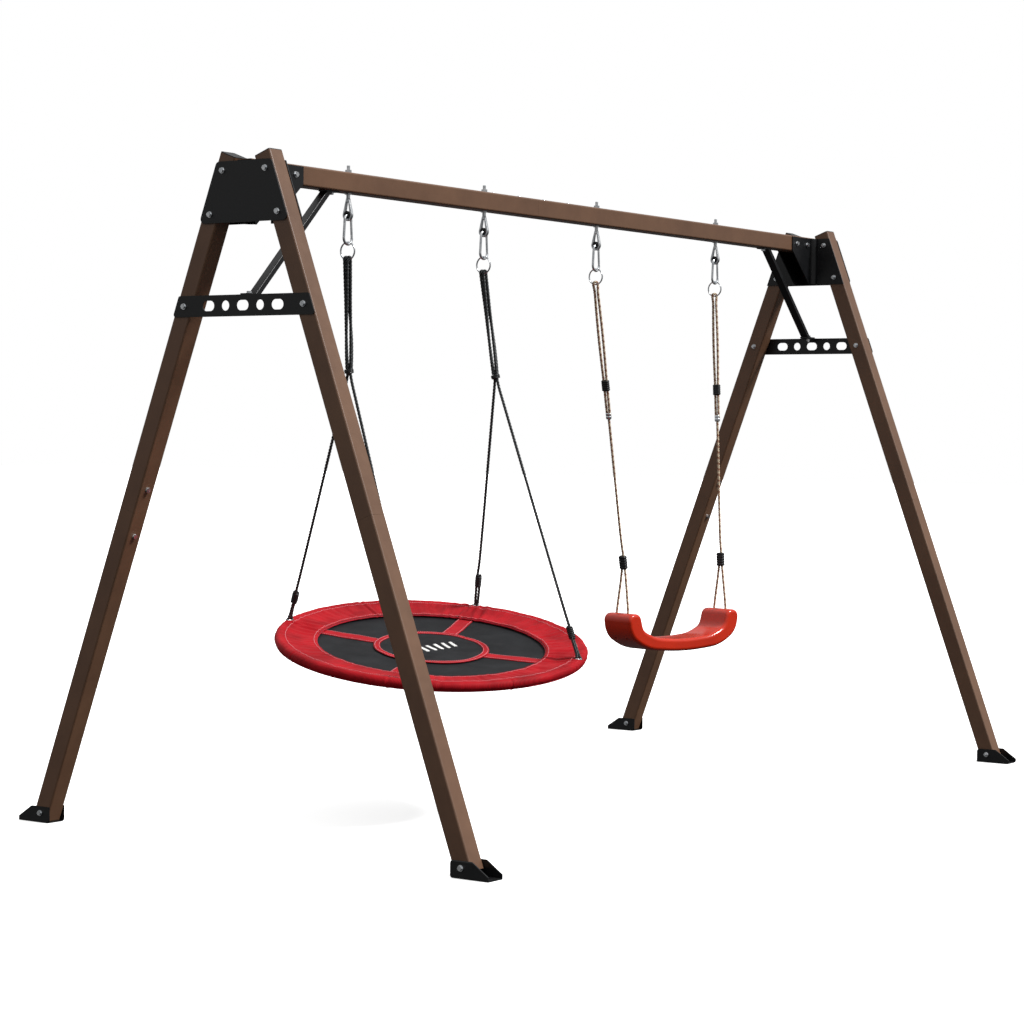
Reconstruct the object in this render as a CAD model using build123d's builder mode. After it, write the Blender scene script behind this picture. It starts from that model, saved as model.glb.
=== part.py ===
"""Garden swing set: a steel frame on two A-frames with a nest swing and a curved swing seat.

Millimetres. +Z is up, +X runs along the beam and -Y is the front.
The origin is on the ground, under the middle of the beam.
"""
import math
import os

from build123d import *

os.makedirs("parts", exist_ok=True)

# ---- driving dimensions: frame ---------------------------------------------------------
frame_length = 3390.0  # over the outer faces of the legs, along X
beam_top = 2000.0  # height of the beam's top face
tube_size = 60.0  # square tube of the legs and the beam
tube_wall = 2.0
tube_corner = 6.0  # outside corner radius
leg_angle = 20.5  # lean of each leg from the vertical, degrees
leg_top_reach = 70.45  # leg's middle line from the middle plane, at the beam's top face
foot_bolt_height = 30.0
leg_top_rise = 14.0  # middle of the leg's top end above the beam's top face
leg_foot_height = 15.5  # middle of the leg's bottom end above the ground
leg_seam_share = 0.48  # height of the joint between the leg halves, of the leg's height
beam_seam_x = -250.0  # joint between the two beam halves
seam_gap = 0.4  # gap left between two butted tubes

# ---- driving dimensions: sleeves, plates and bars --------------------------------------
sleeve_clearance = 0.35  # each side, inside the tube
sleeve_wall = 2.5
leg_sleeve_length = 300.0
beam_sleeve_length = 500.0
leg_splice_spacing = 150.0  # between the bolts below and above the seam
beam_splice_spacing = 145.0  # between neighbouring bolts on top of the beam

plate_thick = 4.0
plate_top_drop = 4.0  # end plate's upper edge, below the beam's top face
plate_bottom_drop = 182.0
plate_upper_bolt_drop = 30.0
plate_lower_bolt_drop = 156.0
plate_corner = 14.0
gusset_length = 165.0  # along the beam, from the leg's inner face
gusset_bend = 20.0  # inside radius of the bend
gusset_bolt_far = 130.0  # beam bolts, from the leg's inner face
gusset_bolt_near = 50.0
gusset_tip_drop = 56.0  # where the beam flange starts to taper, below the beam's top face
gusset_taper_step = 6.0  # end of the taper, from the bend

crossbar_drop = 422.0  # crossbar's middle, below the beam's top face
crossbar_width = 62.0
crossbar_thick = 3.0
crossbar_lip = 12.0
crossbar_corner = 8.0
slot_length = 46.0
slot_width = 30.0
slot_step = 66.0
tab_width = 46.0
tab_length = 52.0

brace_width = 30.0
brace_depth = 18.0
brace_wall = 2.0
brace_tab = 44.0
brace_tab_thick = 4.0
brace_shift = 10.0  # each tab's middle, from its bolt towards the bar
brace_top_x = 395.0  # upper bolt, from the leg's outer face

foot_cheek_gap = 0.6  # between the leg and each cheek
foot_sheet = 4.0
foot_inner = 38.0  # bracket's inner end, from the foot bolt
foot_outer = 92.0  # bracket's outer end, from the foot bolt
foot_cheek_height = 50.0
foot_toe_height = 14.0
anchor_offset = 66.0  # anchor hole, outwards from the foot bolt
anchor_hole = 11.0

# ---- driving dimensions: fasteners -----------------------------------------------------
bolt_size = 8.0
bolt_hole = 8.8
head_across = 13.0
head_height = 5.4
washer_size = 18.0
washer_thick = 1.6
nut_height = 6.8
thread_end = 4.0

# ---- driving dimensions: swing fittings ------------------------------------------------
nest_hanger_x = -868.0  # middle between the nest's two hangers
nest_spacing = 702.0
seat_hanger_x = 545.0
seat_spacing = 800.0
pivot_drop = 66.0  # swing axis, below the beam's underside
hanger_rod = 10.0
hanger_hole = 10.6
hanger_rise = 24.0  # thread above the beam
eye_thick = 9.0
eye_radius = 18.5
eye_hole = 19.0
bush_bore = 12.6
bush_flange = 24.0
bush_half = 6.5
wire_size = 8.0  # carabiner bar
carabiner_top = 15.0  # middle-line radii of the two bows
carabiner_bottom = 19.0
carabiner_length = 89.0  # between the middles of the bar at the bows
gate_pin = 2.6
gate_pin_hole = 2.7
link_clearance = 0.3
ring_wire = 5.0
ring_radius = 27.0

# ---- driving dimensions: nest ----------------------------------------------------------
nest_x = -775.0  # the hoop hangs a little to the right of its hangers' middle
nest_height = 545.0  # height of the hoop's middle
nest_turn = -25.0  # degrees that the nest hangs turned about the vertical
front_left_shift = 14.0  # degrees round the hoop that the front left rope sits off its quarter
nest_tilt = 11.0  # degrees that the hoop hangs off the level
nest_tilt_heading = 230.0  # compass of its low side, degrees from +X towards +Y
hoop_radius = 484.0
hoop_tube = 25.0
cover_tube = 32.0  # padded roll around the hoop
cover_inner = 366.0
cover_sheet = 8.0
mat_radius = 380.0
mat_thick = 3.0
strap_width = 52.0
strap_thick = 2.0
disc_radius = 184.0
rope_size = 10.0
junction_height = 1392.0  # where the two ropes of one side part
hank_size = 26.0
nest_adjuster_length = 48.0
nest_adjuster_size = 21.0
nest_tail_length = 62.0  # from the adjuster to the cover, along the rope

# ---- driving dimensions: seat ----------------------------------------------------------
seat_x = 675.0  # the seat hangs a little to the right of its hangers' middle
seat_turn = -13.0  # degrees that the seat hangs turned about the vertical
seat_length = 572.0
seat_depth = 140.0
seat_bottom = 437.0
seat_rise = 143.0  # height of the raised ends above the lowest corner line
seat_mid = 43.0  # top of the outline at the middle
seat_dip = 3.0  # how far the outline's lower middle lies under the lowest corner line
seat_edge = 13.0  # rounding along the front and back outlines
lobe_width = 62.0  # top of one raised end
rope_pair = 58.0  # between the two ropes that enter one end of the seat
rope_hold = 502.0  # between the rope holes of the two ends
seat_adjuster_height = 1390.0
sleeve_height = 1284.0
clamp_height = 762.0
twin_gap = 11.0  # between the two strands above the adjuster

parts_made = {}


def save(part, label):
    """Label a finished piece and write its STEP file."""
    part.label = label
    export_step(part, f"parts/{label}.step")
    parts_made[label] = part


# ---- worked-out positions --------------------------------------------------------------
half_length = frame_length / 2
half_tube = tube_size / 2
beam_mid = beam_top - half_tube
beam_bottom = beam_top - tube_size
pivot_height = beam_bottom - pivot_drop
plate_top = beam_top - plate_top_drop
plate_bottom = beam_top - plate_bottom_drop
plate_bolt_upper = beam_top - plate_upper_bolt_drop
plate_bolt_lower = beam_top - plate_lower_bolt_drop
gusset_tip_height = beam_top - gusset_tip_drop
crossbar_height = beam_top - crossbar_drop
cutter_spare = 20.0  # how far cutting shapes reach past what they cut
lean = math.radians(leg_angle)
foot_reach = leg_top_reach + (beam_top - foot_bolt_height) * math.tan(lean)
leg_slant = half_tube / math.cos(lean)
sides = {"left": -1, "right": 1}
rows = {"front": -1, "back": 1}
hanger_x = {
    "nest_left": nest_hanger_x - nest_spacing / 2,
    "nest_right": nest_hanger_x + nest_spacing / 2,
    "seat_left": seat_hanger_x - seat_spacing / 2,
    "seat_right": seat_hanger_x + seat_spacing / 2,
}


def leg_y(z):
    """Distance of a leg's middle line from the middle plane, at height z."""
    return foot_reach - (z - foot_bolt_height) * math.tan(lean)


def leg_plane(side, row, z):
    """Plane across a leg at height z, with its normal up along the leg."""
    up = (0, -row * math.sin(lean), math.cos(lean))
    return Plane(origin=(side * (half_length - half_tube), row * leg_y(z), z), x_dir=(1, 0, 0), z_dir=up)


def across_leg(side, row, z, inner):
    """Plane at a leg's face with its normal along X; inner faces look towards the other A-frame."""
    x = side * (half_length - (tube_size if inner else 0))
    normal = (-side, 0, 0) if inner else (side, 0, 0)
    return Plane(origin=(x, row * leg_y(z), z), x_dir=(0, 1, 0), z_dir=normal)


# ---- fasteners -------------------------------------------------------------------------
def hex_bolts(places, grip, head_plate=0.0, dome=False):
    """Bolts whose heads sit on the planes given, with the shank running back through the grip.

    Each bolt, its two washers and its nut make one solid.
    """
    with BuildPart() as bolts:
        for place in places:
            with BuildSketch(place.offset(head_plate)):
                Circle(washer_size / 2)
            extrude(amount=washer_thick)
            with BuildSketch(place.offset(head_plate + washer_thick)):
                if dome:
                    Circle(head_across / 2)
                else:
                    RegularPolygon(head_across / 2, 6, major_radius=False)
            extrude(amount=head_height, taper=18 if dome else 0)
            with BuildSketch(place.offset(head_plate + washer_thick)):
                Circle(bolt_size / 2)
            extrude(amount=-(grip + 2 * washer_thick + nut_height + thread_end))
            with BuildSketch(place.offset(head_plate - grip)):
                Circle(washer_size / 2)
            extrude(amount=-washer_thick)
            with BuildSketch(place.offset(head_plate - grip - washer_thick)):
                RegularPolygon(head_across / 2, 6, major_radius=False)
            extrude(amount=-nut_height)
    return bolts.part


def short_bolts(places, grip, dome=False):
    """Bolts that end in a nut welded inside a sleeve or tube, just behind the wall."""
    with BuildPart() as bolts:
        for place in places:
            with BuildSketch(place):
                Circle((head_across + 3) / 2)
            extrude(amount=washer_thick)
            with BuildSketch(place.offset(washer_thick)):
                if dome:
                    Circle(head_across / 2)
                else:
                    RegularPolygon(head_across / 2, 6, major_radius=False)
            extrude(amount=head_height * (0.7 if dome else 1.0), taper=25 if dome else 0)
            with BuildSketch(place.offset(washer_thick)):
                Circle(bolt_size / 2)
            extrude(amount=-(grip + washer_thick + nut_height + 2))
            with BuildSketch(place.offset(-grip)):
                RegularPolygon(head_across / 2, 6, major_radius=False)
            extrude(amount=-nut_height)
    return bolts.part


plate_bolt_places = [
    across_leg(side, row, z, inner=False)
    for side in sides.values()
    for row in rows.values()
    for z in (plate_bolt_upper, plate_bolt_lower)
]
crossbar_bolt_places = [
    across_leg(side, row, crossbar_height, inner=False) for side in sides.values() for row in rows.values()
]
foot_bolt_places = [
    across_leg(side, row, foot_bolt_height, inner=False) for side in sides.values() for row in rows.values()
]
gusset_bolt_places = [
    Plane(origin=(side * (half_length - tube_size - reach), -half_tube - plate_thick, beam_mid),
          x_dir=(1, 0, 0), z_dir=(0, -1, 0))
    for side in sides.values()
    for reach in (gusset_bolt_far, gusset_bolt_near)
]
seam_z = leg_foot_height + leg_seam_share * (beam_top + leg_top_rise - leg_foot_height)


def leg_splice_place(side, row, step):
    """Plane on the inner slanting face of a leg, beside its seam."""
    z = seam_z + step * leg_splice_spacing / 2 * math.cos(lean)
    out = (0, -row * math.cos(lean), -math.sin(lean))
    middle = Vector(side * (half_length - half_tube), row * leg_y(z), z)
    return Plane(origin=middle + Vector(*out) * half_tube, x_dir=(1, 0, 0), z_dir=out)


leg_splice_places = [
    leg_splice_place(side, row, step)
    for side in sides.values()
    for row in rows.values()
    for step in (-1, 1)
]
beam_splice_places = [
    Plane(origin=(beam_seam_x + step * beam_splice_spacing, 0, beam_top), x_dir=(1, 0, 0), z_dir=(0, 0, 1))
    for step in (-1.5, -0.5, 0.5, 1.5)
]
beam_brace_places = [
    Plane(origin=(side * (half_length - brace_top_x), 0, beam_bottom), x_dir=(1, 0, 0), z_dir=(0, 0, -1))
    for side in sides.values()
]


def square_tube(place, length, size, wall, corner):
    """A square tube made of one outer and one inner rounded square."""
    with BuildPart() as tube:
        with BuildSketch(place):
            RectangleRounded(size, size, corner)
            RectangleRounded(size - 2 * wall, size - 2 * wall, max(corner - wall, 0.8), mode=Mode.SUBTRACT)
        extrude(amount=length)
    return tube.part


def drill(part, places, hole, depth):
    """Cut round holes through a part, both ways from the planes given."""
    with BuildPart() as drilled:
        add(part)
        for place in places:
            with BuildSketch(place):
                Circle(hole / 2)
            extrude(amount=depth, both=True, mode=Mode.SUBTRACT)
    return drilled.part


# ---- legs ------------------------------------------------------------------------------
leg_length = (beam_top + leg_top_rise - leg_foot_height) / math.cos(lean)
lower_length = leg_length * leg_seam_share - seam_gap / 2
upper_length = leg_length * (1 - leg_seam_share) - seam_gap / 2
for side_name, side in sides.items():
    for row_name, row in rows.items():
        through = [
            across_leg(side, row, z, inner=False)
            for z in (plate_bolt_upper, plate_bolt_lower, crossbar_height, foot_bolt_height)
        ]
        seam_holes = [leg_splice_place(side, row, step) for step in (-1, 1)]
        foot_end = leg_plane(side, row, leg_foot_height)
        lower = square_tube(foot_end, lower_length, tube_size, tube_wall, tube_corner)
        lower = drill(lower, through[3:], bolt_hole, tube_size + 1)
        lower = drill(lower, seam_holes[:1], bolt_hole, tube_wall * 2)
        save(lower, f"{side_name}_{row_name}_leg_lower")
        upper_start = foot_end.offset(lower_length + seam_gap)
        upper = square_tube(upper_start, upper_length, tube_size, tube_wall, tube_corner)
        upper = drill(upper, through[:3], bolt_hole, tube_size + 1)
        upper = drill(upper, seam_holes[1:], bolt_hole, tube_wall * 2)
        save(upper, f"{side_name}_{row_name}_leg_upper")

sleeve_size = tube_size - 2 * tube_wall - 2 * sleeve_clearance
with BuildPart() as leg_sleeves:
    for side in sides.values():
        for row in rows.values():
            start = leg_plane(side, row, seam_z).offset(-leg_sleeve_length / 2)
            add(square_tube(start, leg_sleeve_length, sleeve_size, sleeve_wall, tube_corner - tube_wall))
leg_sleeve_part = drill(leg_sleeves.part, leg_splice_places, bolt_hole, tube_wall + sleeve_wall + 2)
save(leg_sleeve_part, "leg_splice_sleeves")

with BuildPart() as leg_caps:
    for side in sides.values():
        for row in rows.values():
            cap_place = leg_plane(side, row, beam_top + leg_top_rise)
            with BuildSketch(cap_place.offset(seam_gap / 2)):
                RectangleRounded(tube_size - 1, tube_size - 1, tube_corner - 0.5)
            extrude(amount=2.5)
            plug_size = tube_size - 2 * tube_wall - 1.0
            with BuildSketch(cap_place.offset(seam_gap / 2)):
                RectangleRounded(plug_size, plug_size, tube_corner - tube_wall)
            extrude(amount=-14)
save(leg_caps.part, "leg_end_caps")

# ---- beam ------------------------------------------------------------------------------
hanger_places = [
    Plane(origin=(x, 0, beam_bottom), x_dir=(1, 0, 0), z_dir=(0, 0, -1)) for x in hanger_x.values()
]


def beam_half(start_x, end_x):
    """One half of the beam between two X positions, with every hole that falls in it."""
    place = Plane(origin=(start_x, 0, beam_mid), x_dir=(0, 1, 0), z_dir=(1, 0, 0))
    half = square_tube(place, end_x - start_x, tube_size, tube_wall, tube_corner)
    inside = [p for p in hanger_places if start_x < p.origin.X < end_x]
    half = drill(half, inside, hanger_hole, tube_size + 2)
    inside = [p for p in gusset_bolt_places if start_x < p.origin.X < end_x]
    half = drill(half, inside, bolt_hole, tube_size + 2 * plate_thick)
    inside = [p for p in beam_splice_places if start_x < p.origin.X < end_x]
    half = drill(half, inside, bolt_hole, tube_wall * 2)
    inside = [p for p in beam_brace_places if start_x < p.origin.X < end_x]
    return drill(half, inside, bolt_hole, tube_wall * 2)


save(beam_half(-half_length + seam_gap, beam_seam_x - seam_gap / 2), "beam_left")
save(beam_half(beam_seam_x + seam_gap / 2, half_length - seam_gap), "beam_right")
sleeve_start = Plane(origin=(beam_seam_x - beam_sleeve_length / 2, 0, beam_mid),
                     x_dir=(0, 1, 0), z_dir=(1, 0, 0))
beam_sleeve = square_tube(sleeve_start, beam_sleeve_length, sleeve_size, sleeve_wall, tube_corner - tube_wall)
save(drill(beam_sleeve, beam_splice_places, bolt_hole, tube_wall + sleeve_wall + 2), "beam_splice_sleeve")

# ---- end plates ------------------------------------------------------------------------
for side_name, side in sides.items():
    outer_face = Plane(origin=(side * half_length, 0, 0), x_dir=(0, 1, 0), z_dir=(side, 0, 0))
    with BuildPart() as end_plate:
        with BuildSketch(outer_face) as face:
            with BuildLine():
                Polyline(
                    (-leg_y(plate_bottom) - leg_slant, side * plate_bottom),
                    (leg_y(plate_bottom) + leg_slant, side * plate_bottom),
                    (leg_y(plate_top) + leg_slant, side * plate_top),
                    (-leg_y(plate_top) - leg_slant, side * plate_top),
                    close=True,
                )
            make_face()
            fillet(face.vertices(), radius=plate_corner)
        extrude(amount=plate_thick)
    holes = [across_leg(side, row, z, inner=False)
             for row in rows.values() for z in (plate_bolt_upper, plate_bolt_lower)]
    save(drill(end_plate.part, holes, bolt_hole, plate_thick * 2), f"{side_name}_end_plate")

# ---- gussets between the beam and the legs ---------------------------------------------
def gusset(side, row):
    """A plate bent from the beam's side face onto the inner faces of the legs."""
    face_x = side * (half_length - tube_size)
    face_y = row * half_tube
    bend_x = face_x - side * (gusset_bend + plate_thick)
    bend_y = face_y + row * (gusset_bend + plate_thick)
    edge_y = row * (leg_y(plate_bottom) + leg_slant)
    with BuildPart() as bent:
        with BuildSketch(Plane.XY.offset(plate_bottom)):
            with BuildLine():
                Line((face_x - side * gusset_length, face_y), (bend_x, face_y))
                RadiusArc((bend_x, face_y), (face_x, bend_y), (gusset_bend + plate_thick) * side * row)
                Line((face_x, bend_y), (face_x, edge_y))
                Line((face_x, edge_y), (face_x - side * plate_thick, edge_y))
                Line((face_x - side * plate_thick, edge_y), (face_x - side * plate_thick, bend_y))
                RadiusArc((face_x - side * plate_thick, bend_y), (bend_x, face_y + row * plate_thick),
                          -gusset_bend * side * row)
                Line((bend_x, face_y + row * plate_thick),
                     (face_x - side * gusset_length, face_y + row * plate_thick))
                Line((face_x - side * gusset_length, face_y + row * plate_thick),
                     (face_x - side * gusset_length, face_y))
            make_face()
        extrude(amount=plate_top - plate_bottom)
        with BuildSketch(Plane(origin=(face_x, 0, 0), x_dir=(0, 1, 0), z_dir=(1, 0, 0))):
            with BuildLine():
                Polyline(
                    (row * (leg_y(plate_bottom) + leg_slant), plate_bottom),
                    (row * (leg_y(plate_top) + leg_slant), plate_top),
                    (row * (leg_y(plate_bottom) + leg_slant + cutter_spare), plate_top),
                    close=True,
                )
            make_face()
        extrude(amount=plate_thick * 2, both=True, mode=Mode.SUBTRACT)
        with BuildSketch(Plane(origin=(0, face_y, 0), x_dir=(1, 0, 0), z_dir=(0, -1, 0))):
            with BuildLine():
                Polyline(
                    (face_x - side * (gusset_length + 1), plate_bottom - 1),
                    (face_x - side * (gusset_length + 1), gusset_tip_height),
                    (face_x - side * gusset_length, gusset_tip_height),
                    (bend_x - side * gusset_taper_step, plate_bottom - 1),
                    close=True,
                )
            make_face()
        extrude(amount=plate_thick * 2, both=True, mode=Mode.SUBTRACT)
    return bent.part


with BuildPart() as gussets:
    for side in sides.values():
        for row in rows.values():
            add(gusset(side, row))
gusset_part = drill(gussets.part, plate_bolt_places, bolt_hole, tube_size + plate_thick * 2)
save(drill(gusset_part, gusset_bolt_places, bolt_hole, tube_size + plate_thick * 2), "beam_gussets")

# ---- crossbars -------------------------------------------------------------------------
crossbar_low = crossbar_height - crossbar_width / 2
crossbar_high = crossbar_height + crossbar_width / 2
for side_name, side in sides.items():
    outer_x = side * half_length
    with BuildPart() as crossbar:
        with BuildSketch(Plane(origin=(outer_x, 0, 0), x_dir=(0, 1, 0), z_dir=(side, 0, 0))) as face:
            with BuildLine():
                Polyline(
                    (-leg_y(crossbar_low) - leg_slant, side * crossbar_low),
                    (leg_y(crossbar_low) + leg_slant, side * crossbar_low),
                    (leg_y(crossbar_high) + leg_slant, side * crossbar_high),
                    (-leg_y(crossbar_high) - leg_slant, side * crossbar_high),
                    close=True,
                )
            make_face()
            fillet(face.vertices(), radius=crossbar_corner)
        extrude(amount=crossbar_thick)
        with BuildSketch(Plane(origin=(outer_x, 0, crossbar_height), x_dir=(0, 1, 0), z_dir=(side, 0, 0))):
            for step in range(-2, 3):
                with Locations((step * slot_step, 0)):
                    if step % 2:
                        Circle(slot_width / 2)
                    else:
                        SlotOverall(slot_length, slot_width)
        extrude(amount=crossbar_thick * 2, both=True, mode=Mode.SUBTRACT)
        lip_half = leg_y(crossbar_low) - leg_slant - 6
        with BuildSketch(Plane(origin=(outer_x, 0, crossbar_low), x_dir=(1, 0, 0), z_dir=(0, 0, 1))):
            with Locations((-side * (crossbar_lip - crossbar_thick) / 2, 0)):
                Rectangle(crossbar_lip + crossbar_thick, 2 * lip_half)
        extrude(amount=crossbar_thick)
        with BuildSketch(Plane(origin=(outer_x, 0, crossbar_high), x_dir=(1, 0, 0), z_dir=(0, 0, 1))):
            with Locations((-side * (tab_length - crossbar_thick) / 2, 0)):
                Rectangle(tab_length + crossbar_thick, tab_width)
        extrude(amount=-crossbar_thick)
    holes = [across_leg(side, row, crossbar_height, inner=False) for row in rows.values()]
    bar = drill(crossbar.part, holes, bolt_hole, crossbar_thick * 2)
    tab_hole = Plane(origin=(outer_x - side * tab_length / 2, 0, crossbar_high))
    save(drill(bar, [tab_hole], bolt_hole, crossbar_thick * 2), f"{side_name}_crossbar")

# ---- knee braces -----------------------------------------------------------------------
brace_bolt_places = []
for side_name, side in sides.items():
    low = Vector(side * (half_length - tab_length / 2), 0, crossbar_high)
    high = Vector(side * (half_length - brace_top_x), 0, beam_bottom)
    brace_bolt_places.append(Plane(origin=low, x_dir=(1, 0, 0), z_dir=(0, 0, 1)))
    brace_bolt_places.append(Plane(origin=high, x_dir=(1, 0, 0), z_dir=(0, 0, -1)))
    start = low + Vector(-side * 25, 0, brace_tab_thick)
    end = high + Vector(side * 25, 0, -brace_tab_thick)
    run = end - start
    bore_width = brace_width - 2 * brace_wall
    bore_depth = brace_depth - 2 * brace_wall
    with BuildPart() as brace:
        before = start - run.normalized() * brace_depth
        with BuildSketch(Plane(origin=before, x_dir=(0, 1, 0), z_dir=run.normalized())):
            RectangleRounded(brace_width, brace_depth, 3)
            RectangleRounded(bore_width, bore_depth, 1.2, mode=Mode.SUBTRACT)
        extrude(amount=run.length + 2 * brace_depth)
        split(bisect_by=Plane.XY.offset(crossbar_high + brace_tab_thick / 2), keep=Keep.TOP)
        split(bisect_by=Plane.XY.offset(beam_bottom - brace_tab_thick / 2), keep=Keep.BOTTOM)
        with BuildSketch(Plane.XY.offset(crossbar_high)):
            with Locations((low.X - side * brace_shift, 0)):
                RectangleRounded(brace_tab + 2 * brace_shift, brace_width + 4, 4)
        extrude(amount=brace_tab_thick)
        with BuildSketch(Plane.XY.offset(beam_bottom)):
            with Locations((high.X + side * brace_shift, 0)):
                RectangleRounded(brace_tab + 2 * brace_shift, brace_width + 4, 4)
        extrude(amount=-brace_tab_thick)
    drilled_brace = drill(brace.part, brace_bolt_places[-2:], bolt_hole, brace_tab_thick + 1)
    save(drilled_brace, f"{side_name}_knee_brace")

# ---- foot brackets ---------------------------------------------------------------------
bracket_half = half_tube + foot_cheek_gap + foot_sheet


def foot_bracket(side, row):
    """A folded U of sheet steel: two cheeks beside the leg and a base that runs on outwards."""
    middle_x = side * (half_length - half_tube)
    inner_y = row * (foot_reach - foot_inner)
    outer_y = row * (foot_reach + foot_outer)
    cheek_face = Plane(origin=(middle_x - bracket_half, 0, 0), x_dir=(0, 1, 0), z_dir=(1, 0, 0))
    bolt_place = across_leg(side, row, foot_bolt_height, inner=False)
    with BuildPart() as bracket:
        with BuildSketch(cheek_face) as cheek:
            with BuildLine():
                Polyline(
                    (inner_y, 0),
                    (outer_y, 0),
                    (outer_y, foot_toe_height),
                    (row * (foot_reach + foot_inner), foot_cheek_height),
                    (inner_y, foot_cheek_height),
                    close=True,
                )
            make_face()
            inner_corner = cheek.vertices().group_by(Axis.Y)[-1 if row < 0 else 0].sort_by(Axis.Z)[-1:]
            fillet(inner_corner, radius=10)
            toe_corner = cheek.vertices().group_by(Axis.Y)[0 if row < 0 else -1].sort_by(Axis.Z)[-1:]
            fillet(toe_corner, radius=9)
        extrude(amount=2 * bracket_half)
        with BuildSketch(Plane.XY.offset(foot_sheet)):
            with Locations((middle_x, (inner_y + outer_y) / 2)):
                Rectangle(2 * (bracket_half - foot_sheet), 2 * (foot_inner + foot_outer))
        extrude(amount=foot_cheek_height, mode=Mode.SUBTRACT)
        long_edges = bracket.edges().filter_by(Axis.Y).group_by(Axis.Z)[0]
        fillet(long_edges, radius=foot_sheet * 0.9)
        with BuildSketch(Plane.XY):
            with Locations((middle_x, row * (foot_reach + anchor_offset))):
                Circle(anchor_hole / 2)
        extrude(amount=foot_sheet, mode=Mode.SUBTRACT)
    return drill(bracket.part, [bolt_place], bolt_hole, tube_size * 1.5)


with BuildPart() as foot_brackets:
    for side in sides.values():
        for row in rows.values():
            add(foot_bracket(side, row))
save(foot_brackets.part, "foot_brackets")

# ---- bolts -----------------------------------------------------------------------------
save(hex_bolts(plate_bolt_places, tube_size + 2 * plate_thick, head_plate=plate_thick), "end_plate_bolts")
save(hex_bolts(gusset_bolt_places, tube_size + 2 * plate_thick), "gusset_beam_bolts")
save(hex_bolts(crossbar_bolt_places, tube_size + crossbar_thick, head_plate=crossbar_thick), "crossbar_bolts")
cheek_reach = foot_cheek_gap + foot_sheet
save(hex_bolts(foot_bolt_places, tube_size + 2 * cheek_reach, head_plate=cheek_reach), "foot_bolts")
with BuildPart() as brace_bolts:
    low_places = [place.offset(brace_tab_thick) for place in brace_bolt_places if place.z_dir.Z > 0]
    high_places = [place.offset(brace_tab_thick) for place in brace_bolt_places if place.z_dir.Z < 0]
    add(hex_bolts(low_places, brace_tab_thick + crossbar_thick))
    add(short_bolts(high_places, brace_tab_thick + tube_wall))
save(brace_bolts.part, "brace_bolts")
with BuildPart() as splice_bolts:
    grip = tube_wall + sleeve_clearance + sleeve_wall
    add(short_bolts(leg_splice_places, grip))
    add(short_bolts(beam_splice_places, grip, dome=True))
save(splice_bolts.part, "splice_bolts")

# ---- hangers: eye bolts through the beam -----------------------------------------------
neck_length = 12.0
eye_middle_drop = beam_bottom - pivot_height
for name, x in hanger_x.items():
    under = Plane(origin=(x, 0, beam_bottom), x_dir=(1, 0, 0), z_dir=(0, 0, -1))
    with BuildPart() as hanger:
        with BuildSketch(Plane(origin=(x - eye_thick / 2, 0, 0), x_dir=(0, 1, 0), z_dir=(1, 0, 0))):
            with Locations((0, pivot_height)):
                Circle(eye_radius)
            with Locations((0, beam_bottom - neck_length - 8)):
                Circle(7)
            make_hull()
            with Locations((0, pivot_height)):
                Circle(eye_hole / 2, mode=Mode.SUBTRACT)
            with BuildLine():
                Polyline(
                    (-eye_hole / 2 + 1.2, pivot_height + 3),
                    (eye_hole / 2 - 1.2, pivot_height + 3),
                    (2.5, beam_bottom - neck_length - 16),
                    (-2.5, beam_bottom - neck_length - 16),
                    close=True,
                )
            make_face(mode=Mode.SUBTRACT)
        extrude(amount=eye_thick)
        rim = hanger.edges().filter_by(Plane.YZ)
        fillet(rim, radius=2.4)
        with BuildSketch(under.offset(2)):
            Circle(hanger_rod / 2 + 1)
        extrude(amount=neck_length + 6)
        with BuildSketch(under):
            Circle(11)
        extrude(amount=4)
        with BuildSketch(under):
            Circle(hanger_rod / 2)
        extrude(amount=-(tube_size + hanger_rise))
        chamfer(hanger.edges().filter_by(GeomType.CIRCLE).sort_by(Axis.Z)[-1], length=1.2)
    save(hanger.part, f"{name}_hanger")

with BuildPart() as hanger_nuts:
    for x in hanger_x.values():
        top = Plane(origin=(x, 0, beam_top), x_dir=(1, 0, 0), z_dir=(0, 0, 1))
        with BuildSketch(top):
            Circle(12)
            Circle(hanger_rod / 2 + 0.1, mode=Mode.SUBTRACT)
        extrude(amount=2)
        with BuildSketch(top.offset(2)):
            RegularPolygon(8.5, 6, major_radius=False)
            Circle(hanger_rod / 2 + 0.1, mode=Mode.SUBTRACT)
        extrude(amount=8.4)
save(hanger_nuts.part, "hanger_nuts")

with BuildPart() as bushes:
    for x in hanger_x.values():
        for mirror_side in (-1, 1):
            half = Plane(origin=(x, 0, pivot_height), x_dir=(0, 1, 0), z_dir=(mirror_side, 0, 0))
            with BuildSketch(half):
                Circle(eye_hole / 2 - 0.1)
                Circle(bush_bore / 2, mode=Mode.SUBTRACT)
            extrude(amount=bush_half)
            with BuildSketch(half.offset(eye_thick / 2)):
                Circle(bush_flange / 2)
                Circle(bush_bore / 2, mode=Mode.SUBTRACT)
            extrude(amount=bush_half - eye_thick / 2)
save(bushes.part, "hanger_bushes")

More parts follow.
